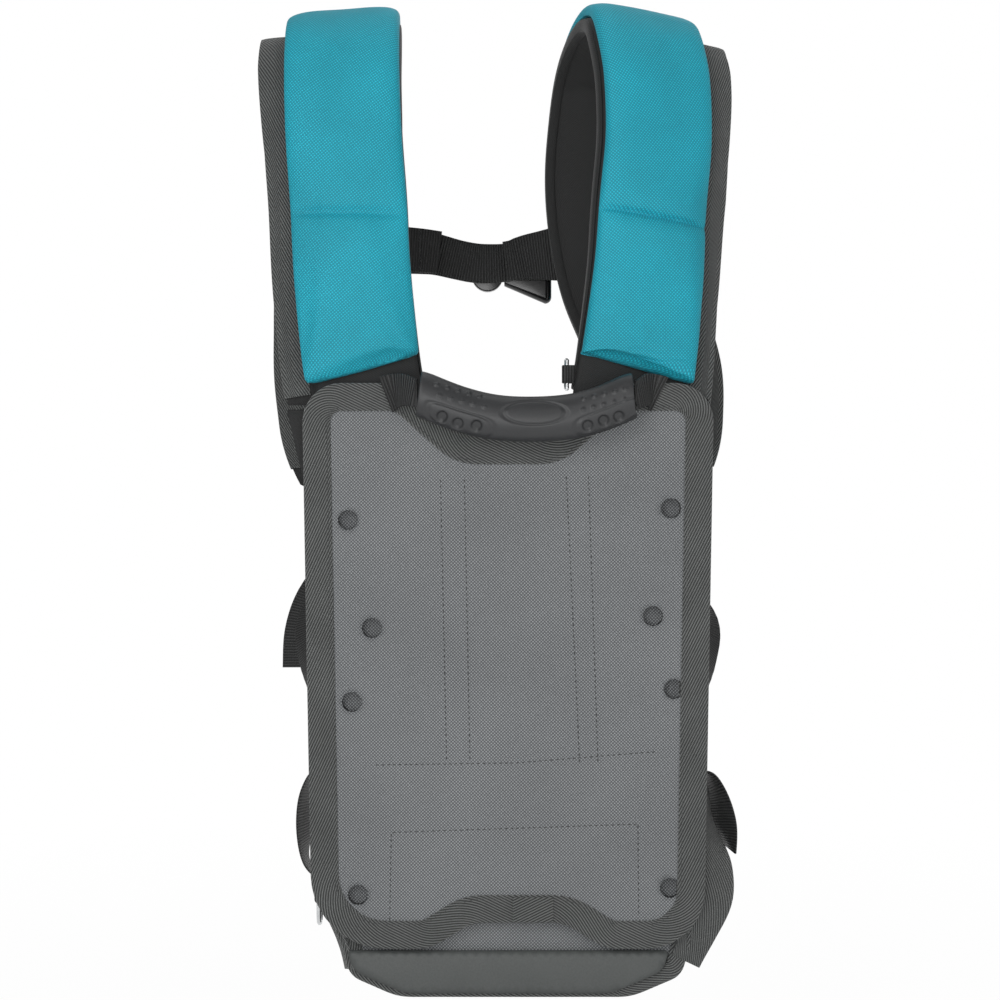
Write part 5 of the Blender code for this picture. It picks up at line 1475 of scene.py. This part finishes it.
# %% [markdown]
# ## The chest strap
#
# Two pieces of webbing meet at a side-release buckle behind them. The left one is doubled where
# it is sewn to the strap, and a bar tack, a dense zigzag of thread, holds the fold. Both hang
# slack, so their edges run in gentle curves.

# %% Chest strap
CHEST_Y = 0.1365
CHEST_WEBBING = 0.0016
chest_y = CHEST_Y + CHEST_WEBBING / 2
left_low = taped_edge(straps["left"], 0.2592) + 2 * FIT
left_high = taped_edge(straps["left"], 0.2895) + 2 * FIT
right_low = taped_edge(straps["right"], 0.2550) - 2 * FIT
right_high = taped_edge(straps["right"], 0.2890) - 2 * FIT
left_edges = [
    ((left_low, chest_y, 0.2592), (left_high, chest_y, 0.2895)),
    ((-0.0520, chest_y, 0.2587), (-0.0525, chest_y, 0.2868)),
    ((-0.0440, chest_y, 0.2578), (-0.0440, chest_y, 0.2846)),
    ((-0.0320, chest_y + 0.0003, 0.2552), (-0.0320, chest_y + 0.0003, 0.2812)),
    ((-0.0200, chest_y, 0.2530), (-0.0200, chest_y, 0.2790)),
    ((-0.0080, chest_y, 0.2532), (-0.0080, chest_y, 0.2786)),
    ((0.0010, chest_y, 0.2540), (0.0010, chest_y, 0.2790)),
]
band_piece("chest_webbing_strip_left", left_edges, CHEST_WEBBING, ribbed, "shoulder_straps",
           ["chest_webbing_left"])
fold_y = CHEST_Y - 0.0010
fold_edges = [
    ((left_low + 0.0004, fold_y, 0.2602), (left_high + 0.0004, fold_y, 0.2898)),
    ((-0.0560, fold_y - 0.0002, 0.2598), (-0.0565, fold_y - 0.0002, 0.2886)),
    ((-0.0445, fold_y, 0.2590), (-0.0440, fold_y, 0.2868)),
]
band_piece("chest_webbing_fold", fold_edges, 0.0014, ribbed, "shoulder_straps")
right_edges = [
    ((-0.0016, chest_y - 0.0020, 0.2543), (-0.0020, chest_y - 0.0020, 0.2800)),
    ((0.0040, chest_y - 0.0014, 0.2545), (0.0040, chest_y - 0.0014, 0.2812)),
    ((0.0080, chest_y - 0.0006, 0.2546), (0.0080, chest_y - 0.0006, 0.2830)),
    ((0.0160, chest_y, 0.2548), (0.0160, chest_y, 0.2856)),
    ((right_low, chest_y, 0.2550), (right_high, chest_y, 0.2890)),
]
band_piece("chest_webbing_strip_right", right_edges, CHEST_WEBBING, ribbed, "shoulder_straps",
           ["chest_webbing_right"])
tack = []
for step in range(23):
    z = 0.2612 + 0.0265 * step / 22
    tack.append((-0.0572 + (0.0009 if step % 2 else -0.0009), fold_y - 0.0009, z))
piece("chest_bar_tack", stitches(tack, (0, -1, 0), pitch=0.0018), thread, "shoulder_straps")
print("chest strap:", round(right_low - left_low, 3), "m wide")

# %% [markdown]
# ## Side loops, gussets and adjuster webbings
#
# Low on both sides a webbing loop stands off the pad, its rear edge drawn in, so that its shaded
# inner face shows. Below it, the right corner has a wide folded gusset and the left one a small
# one with a D-ring on a tab. An adjuster webbing rises from each side of the pad to the ladder
# lock at the strap's end. It is sewn to the panel at its foot and runs round the lock at its top,
# and it is built once in this pose on no body, so it follows neither. Its free tail hangs from
# the lock and moves with the strap alone.

# %% Loops and gussets
SIDE = PAD_HALF_WIDTH + FIT + TAPE
SEAT = SIDE + FIT + TAPE / 2 + 0.0001
LOOP_Y = (0.0062, 0.0300)
RIGHT_LOOP = ((SEAT, -0.0520), (0.1250, -0.0560), (0.1335, -0.0700), (0.1380, -0.0865),
              (0.1370, -0.1010))
LEFT_LOOP = ((-SEAT, -0.0520), (-0.1205, -0.0560), (-0.1262, -0.0700), (-0.1272, -0.0890),
             (-0.1232, -0.1080), (-0.1157, -0.1166))
LOOP_LEAN = 0.62
for name, arch in (("right", RIGHT_LOOP), ("left", LEFT_LOOP)):
    edges = []
    for index, (x, z) in enumerate(arch):
        sag = 0.0006 * math.sin(index * 2.1)
        bulge = (x - arch[0][0]) * (0.3 if index == 4 else 1.0)
        rear = LOOP_Y[1] - abs(bulge) * 0.22
        edges.append(((x, LOOP_Y[0] + sag, z), (x - bulge * LOOP_LEAN, rear + sag, z)))
    band_piece("side_webbing_" + name, edges, TAPE, ribbed, "panel",
               ["side_loop_" + name])

GUSSET_SHEET = 0.0015
BEHIND = 0.0038 + GUSSET_SHEET / 2 + FIT
right_gusset = [((0.1152, 0.0120, -0.0530), (0.1180, 0.0190, -0.0535)),
                ((0.1152, 0.0105, -0.0640), (0.1216, 0.0195, -0.0650)),
                ((0.1154, 0.0080, -0.0800), (0.1240, 0.0200, -0.0830))]
for z, tuck, far_x, far_y, far_z in (
    (-0.1022, 0.0, 0.1325, 0.0190, -0.1010), (-0.1150, 0.0, 0.1366, 0.0185, -0.1150),
    (-0.1300, 0.0035, 0.1362, 0.0180, -0.1320), (-0.1480, 0.0085, 0.1265, 0.0140, -0.1510),
    (-0.1690, 0.0100, 0.1160, 0.0080, -0.1650),
):
    near = pad_half_width(z, 1.0) + FIT + TAPE + FIT + GUSSET_SHEET / 2 + 0.0004 - tuck
    right_gusset.append(((near, BEHIND, z), (far_x, far_y, far_z)))
band_piece("corner_gusset_right", right_gusset, GUSSET_SHEET, twill, "panel",
           ["gusset_right"], 0.0020)
left_gusset = []
for z, tuck in ((-0.1440, 0.0050), (-0.1530, 0.0060), (-0.1620, 0.0060), (-0.1720, 0.0060)):
    x = -pad_half_width(z, -1.0) - (FIT + TAPE + FIT + GUSSET_SHEET / 2 + 0.0004)
    left_gusset.append(((x + tuck, BEHIND, z), (x - 0.0006, 0.0140, z)))
band_piece("corner_gusset_left", left_gusset, GUSSET_SHEET, twill, "panel",
           ["gusset_left"], 0.0020)

# %% Adjuster webbings
LOCK_DROP = 0.0165
LOCK_BAR = 0.0030
LOCK_HEIGHT = 0.0260
LOCK_THICKNESS = 0.0026
for name, side in (("left", -1.0), ("right", 1.0)):
    end = straps[name][-1][0]
    x, y, z = end.x, end.y, end.z - LOCK_DROP
    top = z + LOCK_BAR / 2
    bar_z = top - 0.01425
    below = top - LOCK_HEIGHT - 0.0020
    turn = LOCK_THICKNESS / 2 + 0.0004 + TAPE / 2
    foot_x = side * SEAT
    foot_y = sum(LOOP_Y) / 2
    rise = [
        (foot_x, foot_y, -0.0505, 0.0, 1.0, 0.0),
        (foot_x, foot_y, -0.0300, 0.0, 1.0, 0.0),
        (foot_x + side * 0.0040, 0.0300, -0.0080, side * 0.1, 1.0, 0.0),
        (foot_x + side * 0.0075, 0.0500, 0.0160, side * 0.5, 1.0, 0.0),
        (foot_x + side * 0.0065, 0.0720, 0.0380, side, 0.8, 0.0),
        (foot_x * 0.60 + x * 0.40, 0.0950, 0.0580, side, 0.3, 0.0),
        (x, y + turn, below, side, 0.0, 0.0),
        (x, y + turn, bar_z, side, 0.0, 0.0),
    ]
    for step in range(7):
        angle = math.pi * step / 6
        rise.append((x, y + turn * math.cos(angle),
                     bar_z + 0.0026 + (turn + 0.0004) * math.sin(angle), side, 0.0, 0.0))
    climb = piece("adjuster_rise_" + name, smooth_strip(rise, WEBBING_WIDTH, TAPE, 5, 0.0016),
                  ribbed, None, ["adjuster_webbing_" + name])
    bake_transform(climb)
    if side < 0:
        tail = ((x, y - turn, bar_z + 0.0024, -1.0, 0.0, 0.0), (x, y - turn, below, -1.0, 0.0, 0.0),
                (x - 0.0060, y - 0.0050, 0.0720, -1.0, 0.1, 0.0),
                (x - 0.0220, y - 0.0160, 0.0500, -1.0, 0.3, 0.0),
                (x - 0.0290, y - 0.0230, 0.0280, -1.0, 0.35, 0.0),
                (x - 0.0300, y - 0.0260, 0.0050, -1.0, 0.35, 0.0))
    else:
        tail = ((x, y - turn, bar_z + 0.0024, 1.0, 0.0, 0.0), (x, y - turn, below, 1.0, 0.0, 0.0),
                (x, y - 0.0050, 0.0700, 1.0, 0.0, 0.0), (x, y - 0.0100, 0.0450, 1.0, 0.0, 0.0),
                (x, y - 0.0120, 0.0200, 1.0, 0.0, 0.0))
    piece("adjuster_tail_" + name, smooth_strip(tail, WEBBING_WIDTH, TAPE, 5, 0.0020), ribbed,
          "shoulder_straps")
print("adjusters: 2")

# %% [markdown]
# ## Keepers and small webbings
#
# Each ring and lock hangs in a short loop of webbing whose two legs are sewn in. A loop is a
# strip bent round the bar: two straight legs and a half turn.

# %% Keepers
TAB_WIDTH = 0.0110
TAB_THICKNESS = 0.0012
RING_WIRE = 0.0015


def keeper_strip(centre, gap, legs, down, side, across, width):
    """Webbing bent round a bar, from one leg's end to the other's."""
    centre, down, side, across = (Vector(v) for v in (centre, down, side, across))
    reach = gap + TAB_THICKNESS / 2
    path = [centre - down * legs * share + side * reach for share in (1.0, 0.66, 0.33)]
    for step in range(13):
        angle = math.pi * step / 12
        path.append(centre + side * reach * math.cos(angle) + down * reach * math.sin(angle))
    path += [centre - down * legs * share - side * reach for share in (0.33, 0.66, 1.0)]
    return skin(strip_rings(path, [across] * len(path), width, TAB_THICKNESS))


# How far the middle of a ring's straight bar lies inside the ring's box.
BAR_INSET = 0.00143
upper_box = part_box("upper_ring")
bar = Vector((upper_box[0][0] + BAR_INSET, upper_box[0][1] + RING_WIRE, 0.1870))
frames = straps["right"]
out = frames[place_at(frames, 0.1870, False)][2]
inward = Vector((-out.x, -out.y, 0.0)).normalized()
side_way = Vector((0.0, 0.0, 1.0)).cross(inward)
piece("upper_ring_webbing", keeper_strip(bar, RING_WIRE + FIT, 0.0045, inward, side_way,
      (0, 0, 1), TAB_WIDTH), ribbed, "shoulder_straps", ["upper_ring_keeper"])
lower_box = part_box("lower_ring")
bar = Vector((lower_box[0][0] + BAR_INSET, 0.0140, -0.1300))
piece("lower_ring_webbing", keeper_strip(bar, RING_WIRE + FIT, 0.0130, (0, 0, -1), (1, 0, 0),
      (0, 1, 0), TAB_WIDTH), ribbed, "panel", ["ring_tab"])
for name in ("left", "right"):
    end = straps[name][-1][0]
    piece("lock_webbing_" + name, keeper_strip((end.x, end.y, end.z - LOCK_DROP), 0.0021,
          LOCK_DROP - FIT, (0, 0, -1), (0, 1, 0), (1, 0, 0), WEBBING_WIDTH), ribbed,
          "shoulder_straps", ["lock_keeper_" + name])
for node in ("upper_ring", "lower_ring"):
    finish_node(node, zinc)
for node in ("ladder_lock_left", "ladder_lock_right"):
    finish_node(node, nylon)
print("rings and locks finished")

# %% [markdown]
# ## The side-release buckle
#
# Only its rounded underside shows below the webbing. The socket starts as a cube: its long edges
# are bevelled, the mouth end is drawn in, the mouth is inset and pushed back to make room for
# the prongs, and a last small bevel breaks the edges. The plug is a thick disc with two prongs.

# %% Buckle
def new_block(name, centre, size):
    """A cube in edit mode, of a size and place, with its own name."""
    bpy.ops.object.select_all(action="DESELECT")
    bpy.ops.mesh.primitive_cube_add(size=1.0, location=centre)
    made = bpy.context.object
    made.name = name
    made.scale = size
    bpy.ops.object.transform_apply(location=True, rotation=True, scale=True)
    bpy.ops.object.mode_set(mode="EDIT")
    return made


def pick(made, mode, wanted):
    """Selects the edges or faces in edit mode for which wanted is true."""
    bpy.ops.mesh.select_mode(type=mode)
    bpy.ops.mesh.select_all(action="DESELECT")
    shell = bmesh.from_edit_mesh(made.data)
    for part in shell.edges if mode == "EDGE" else shell.faces:
        if wanted(part):
            part.select = True
    shell.select_flush_mode()
    bmesh.update_edit_mesh(made.data)


def finish_moulding(made, width, body, node):
    """Breaks the edges, smooths the shading and hands the piece over."""
    bpy.ops.object.mode_set(mode="OBJECT")
    applied(made, "BEVEL", width=width, segments=3, limit_method="ANGLE",
            angle_limit=math.radians(40.0))
    bpy.ops.object.shade_smooth_by_angle(angle=math.radians(40.0))
    hand_over(made, acetal, body, [node])


socket = new_block("chest_buckle_socket", (0.0135, 0.1438, 0.2560), (0.0310, 0.0096, 0.0320))
pick(socket, "EDGE", lambda edge: abs(edge.verts[0].co.x - edge.verts[1].co.x) > 0.02)
bpy.ops.mesh.bevel(offset=0.0045, segments=6, affect="EDGES")
pick(socket, "EDGE", lambda edge: min(point.co.x for point in edge.verts) > 0.0285)
bpy.ops.mesh.bevel(offset=0.0042, segments=6, affect="EDGES")
pick(socket, "FACE", lambda face: face.normal.x < -0.9)
bpy.ops.transform.resize(value=(1.0, 1.0, 0.55), center_override=(0.0, 0.0, 0.2655))
bpy.ops.mesh.inset(thickness=0.0016)
bpy.ops.mesh.extrude_region_move(TRANSFORM_OT_translate={"value": (0.0205, 0.0, 0.0)})
finish_moulding(socket, 0.0008, "shoulder_straps", "buckle_socket")

bpy.ops.object.select_all(action="DESELECT")
bpy.ops.mesh.primitive_cylinder_add(vertices=64, radius=0.0102, depth=0.0084,
                                    location=(-0.0130, 0.1437, 0.2580),
                                    rotation=(math.pi / 2, 0.0, 0.0))
plug = bpy.context.object
plug.name = "chest_buckle_plug"
bpy.ops.object.transform_apply(location=True, rotation=True, scale=True)
bpy.ops.object.mode_set(mode="EDIT")
for height in (0.2568, 0.2634):
    bpy.ops.mesh.primitive_cube_add(size=1.0, location=(0.0045, 0.1438, height))
    bpy.ops.transform.resize(value=(0.0200, 0.0030, 0.0030),
                             center_override=(0.0045, 0.1438, height))
finish_moulding(plug, 0.0009, "buckle_plug", "buckle_plug")
print("buckle: socket", len(socket.data.polygons), "faces, plug", len(plug.data.polygons))

# %% [markdown]
# ## The carry grip
#
# The grip is a moulded sleeve over webbing, bent like a banana so that it hangs in the hand. It
# starts as an open cylinder along its length, cut into rings. Each ring is squeezed to the
# grip's oval, moved to the centre line and turned square to it. Both ends are drawn in to a lip
# and a slot for the webbing. Two levels of subdivision round it, and give points enough for the
# details of the mould: a bare oval badge, two insets with finger dimples, and rows of bumps.

# %% Grip sleeve
GRIP_Y = -0.0158
GRIP_LINE = ((-0.0530, 0.1745), (-0.0300, 0.1655), (-0.0080, 0.1602), (0.0150, 0.1590),
             (0.0380, 0.1607), (0.0560, 0.1655), (0.0745, 0.1735))
GRIP_HALF_DEPTH = 0.0100
GRIP_HALF_HEIGHT = 0.0135
grip_line = curve(GRIP_LINE, 12)
grip_start = GRIP_LINE[0][0]
grip_stop = GRIP_LINE[-1][0]


def grip_height(x):
    """Height of the grip's centre line at a place along it."""
    for (x0, z0), (x1, z1) in zip(grip_line, grip_line[1:]):
        if x <= x1:
            return z0 + (z1 - z0) * (x - x0) / (x1 - x0)
    return grip_line[-1][1]


def select_points(made, members):
    """Selects only the points of the mesh in edit mode with these numbers."""
    shell = bmesh.from_edit_mesh(made.data)
    for part in (*shell.faces, *shell.edges, *shell.verts):
        part.select = False
    shell.verts.ensure_lookup_table()
    for number in members:
        shell.verts[number].select = True
    shell.select_flush_mode()
    bmesh.update_edit_mesh(made.data)


bpy.ops.object.select_all(action="DESELECT")
bpy.ops.mesh.primitive_cylinder_add(
    vertices=40, radius=1.0, depth=grip_stop - grip_start, end_fill_type="NOTHING",
    location=((grip_start + grip_stop) / 2, GRIP_Y, 0.0), rotation=(0.0, math.pi / 2, 0.0),
)
sleeve = bpy.context.object
sleeve.name = "moulded_grip"
bpy.ops.object.transform_apply(location=True, rotation=True, scale=True)
bpy.ops.object.mode_set(mode="EDIT")
bpy.ops.mesh.select_mode(type="VERT")
shell = bmesh.from_edit_mesh(sleeve.data)
for edge in shell.edges:
    edge.select = abs(edge.verts[0].co.x - edge.verts[1].co.x) > 0.01
bmesh.update_edit_mesh(sleeve.data)
bpy.ops.mesh.subdivide(number_cuts=47)
ring_step = (grip_stop - grip_start) / 48
rings = [[] for _ in range(49)]
for point in bmesh.from_edit_mesh(sleeve.data).verts:
    rings[round((point.co.x - grip_start) / ring_step)].append(point.index)
for index in range(49):
    x = grip_start + ring_step * index
    z = grip_height(x)
    slope = math.atan2(grip_height(x + 0.002) - grip_height(x - 0.002), 0.004)
    if index in (0, 48):
        slope *= 0.3
    middle = (x, GRIP_Y, z)
    select_points(sleeve, rings[index])
    bpy.ops.transform.resize(value=(1.0, GRIP_HALF_DEPTH, GRIP_HALF_HEIGHT),
                             center_override=(x, GRIP_Y, 0.0))
    bpy.ops.transform.translate(value=(0.0, 0.0, z))
    bpy.ops.transform.rotate(value=slope, orient_axis="Y", center_override=middle)
bpy.ops.object.mode_set(mode="OBJECT")
print("rings of the grip:", index + 1)

# %% Grip ends and rounding
SLOT_DEPTH = 0.0058
LIP = 0.0016

for members, x, inward_x in ((rings[0], grip_start, 1.0), (rings[-1], grip_stop, -1.0)):
    middle = (x, GRIP_Y, grip_height(x))
    bpy.ops.object.mode_set(mode="EDIT")
    bpy.ops.mesh.select_mode(type="VERT")
    select_points(sleeve, members)
    bpy.ops.mesh.select_mode(type="EDGE")
    bpy.ops.mesh.extrude_edges_move(TRANSFORM_OT_translate={"value": (0.0, 0.0, 0.0)})
    bpy.ops.transform.resize(value=(1.0, 0.86, 0.90), center_override=middle)
    bpy.ops.mesh.extrude_edges_move(TRANSFORM_OT_translate={"value": (inward_x * LIP, 0.0, 0.0)})
    bpy.ops.transform.resize(value=(1.0, 0.45, 0.92), center_override=middle)
    bpy.ops.mesh.extrude_edges_move(
        TRANSFORM_OT_translate={"value": (inward_x * SLOT_DEPTH, 0.0, 0.0)}
    )
    bpy.ops.transform.resize(value=(1.0, 0.8, 0.8), center_override=middle)
    bpy.ops.mesh.edge_face_add()
    bpy.ops.object.mode_set(mode="OBJECT")
round_off = sleeve.modifiers.new("rounding", "SUBSURF")
round_off.levels = 2
round_off.render_levels = 2
bpy.ops.object.modifier_apply(modifier=round_off.name)
print("grip points:", len(sleeve.data.vertices))

# %% [markdown]
# ## Details of the grip's mould
#
# The details stand a few tenths of a millimetre above or below the surface, which is what lets
# the light pick them out: an oval outline at the middle, which is bare, two rows of five round
# bumps on each side of it, and an inset with three finger dimples low on each side. The points
# on the front of the sleeve are moved in or out along their own normals.

# %% Grip details
BADGE = (0.0156, 0.1626, 0.0186, 0.0072)
BUMP_HEIGHT = 0.0008
BUMP_RADIUS = 0.0015
DIMPLE_RADIUS = 0.0040
DIMPLE_DEPTH = 0.0022
INSET = (0.0440, -0.0078, 0.0195, 0.0066)
BUMP_ROWS = (((-0.0422, 0.1791), (-0.0169, 0.1722)), ((-0.0404, 0.1725), (-0.0142, 0.1660)),
             ((0.0447, 0.1710), (0.0691, 0.1764)), ((0.0441, 0.1642), (0.0686, 0.1702)))
DIMPLES = ((-0.0392, 0.1594), (-0.0299, 0.1553), (-0.0188, 0.1540),
           (0.0471, 0.1540), (0.0566, 0.1570), (0.0656, 0.1594))


def ridge(distance, width):
    """1 on a line, falling smoothly to 0 at a distance of its width."""
    share = max(0.0, 1.0 - abs(distance) / width)
    return share * share * (3.0 - 2.0 * share)


bumps = []
for (x0, z0), (x1, z1) in BUMP_ROWS:
    bumps += [(x0 + (x1 - x0) * step / 4, z0 + (z1 - z0) * step / 4) for step in range(5)]
shell = bmesh.new()
shell.from_mesh(sleeve.data)
bmesh.ops.recalc_face_normals(shell, faces=shell.faces)
shell.normal_update()
moves = []
for point in shell.verts:
    x, y, z = point.co
    rise = 0.0
    if y < GRIP_Y and point.normal.y < -0.15:
        badge = math.hypot((x - BADGE[0]) / BADGE[2], (z - BADGE[1]) / BADGE[3])
        rise -= 0.0007 * ridge((badge - 1.0) * BADGE[3], 0.0010)
        for bump_x, bump_z in bumps:
            away = math.hypot(x - bump_x, z - bump_z) / BUMP_RADIUS
            rise += BUMP_HEIGHT * max(0.0, 1.0 - away * away)
    if y < GRIP_Y - 0.0005 and point.normal.y < -0.15:
        for dimple_x, dimple_z in DIMPLES:
            away = math.hypot(x - dimple_x, z - dimple_z - 0.0006)
            rise -= DIMPLE_DEPTH * ridge(max(0.0, away - 0.0022), DIMPLE_RADIUS - 0.0022)
        side = abs(abs(x - BADGE[0]) - INSET[0]) / INSET[2]
        low = abs(z - grip_height(x) - INSET[1]) / INSET[3]
        inset = (side ** 3.5 + low ** 3.5) ** (1 / 3.5)
        rise -= 0.0006 * ridge((inset - 1.0) * INSET[3], 0.0009)
    moves.append(point.normal * rise)
for point, move in zip(shell.verts, moves):
    point.co += move
shell.to_mesh(sleeve.data)
shell.free()
sleeve.data.shade_smooth()
sleeve.data.materials.append(nylon)
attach(sleeve, "grip")
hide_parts("grip_sleeve")
print("grip:", len(bumps), "bumps,", len(DIMPLES), "dimples")

# %% [markdown]
# ## The grip's webbing
#
# One length of webbing runs through the sleeve and out at both ends, where it is pulled down on
# the ears and sewn. Inside the sleeve it moves with the grip; the two ends belong to the panel.
# Near the grip each end leaves the slot and fans out towards its seam, so it grows wider on its
# way down to the ear.

# %% Grip webbing
GRIP_END_GAP = 0.0004
GRIP_WEBBING = 0.0015
SLOT_HEIGHT = 0.0172
inner_line = curve(GRIP_LINE, 4)
webbing_rings = [Vector((x, GRIP_Y, z)) for x, z in inner_line]
ways = []
for index in range(len(webbing_rings)):
    before = webbing_rings[max(index - 1, 0)]
    after = webbing_rings[min(index + 1, len(webbing_rings) - 1)]
    ways.append(Vector((0.0, -1.0, 0.0)).cross((after - before).normalized()))
piece("grip_webbing_strip", skin(strip_rings(webbing_rings, ways, SLOT_HEIGHT * 0.85,
      GRIP_WEBBING)), ribbed, "grip", ["grip_webbing"])
on_ear = -FIT - TAPE - FIT - GRIP_WEBBING / 2
for name, side, end_x, end_z in (("left", -1.0, grip_start, GRIP_LINE[0][1]),
                                 ("right", 1.0, grip_stop, GRIP_LINE[-1][1])):
    x = end_x + side * GRIP_END_GAP
    reach = 0.0200 if side < 0 else 0.0160
    knots = []
    for share, y, z, half_low, half_high in (
        (0.00, GRIP_Y, end_z, 0.0084, 0.0084),
        (0.08, GRIP_Y, end_z, 0.0084, 0.0084),
        (0.26, GRIP_Y + 0.0030, end_z + 0.0010, 0.0086, 0.0090),
        (0.50, -0.0080, 0.1765, 0.0096, 0.0100),
        (0.74, on_ear - 0.0007, 0.1762, 0.0108, 0.0106),
        (1.00, on_ear, 0.1748, 0.0122, 0.0110),
    ):
        place = x + side * reach * share
        knots.append(((place, y, z - half_low), (place, y, z + half_high)))
    band_piece("grip_end_" + name, knots, GRIP_WEBBING, ribbed, "panel",
               ["grip_anchor_" + name], 0.0012)
print("grip webbing fitted")
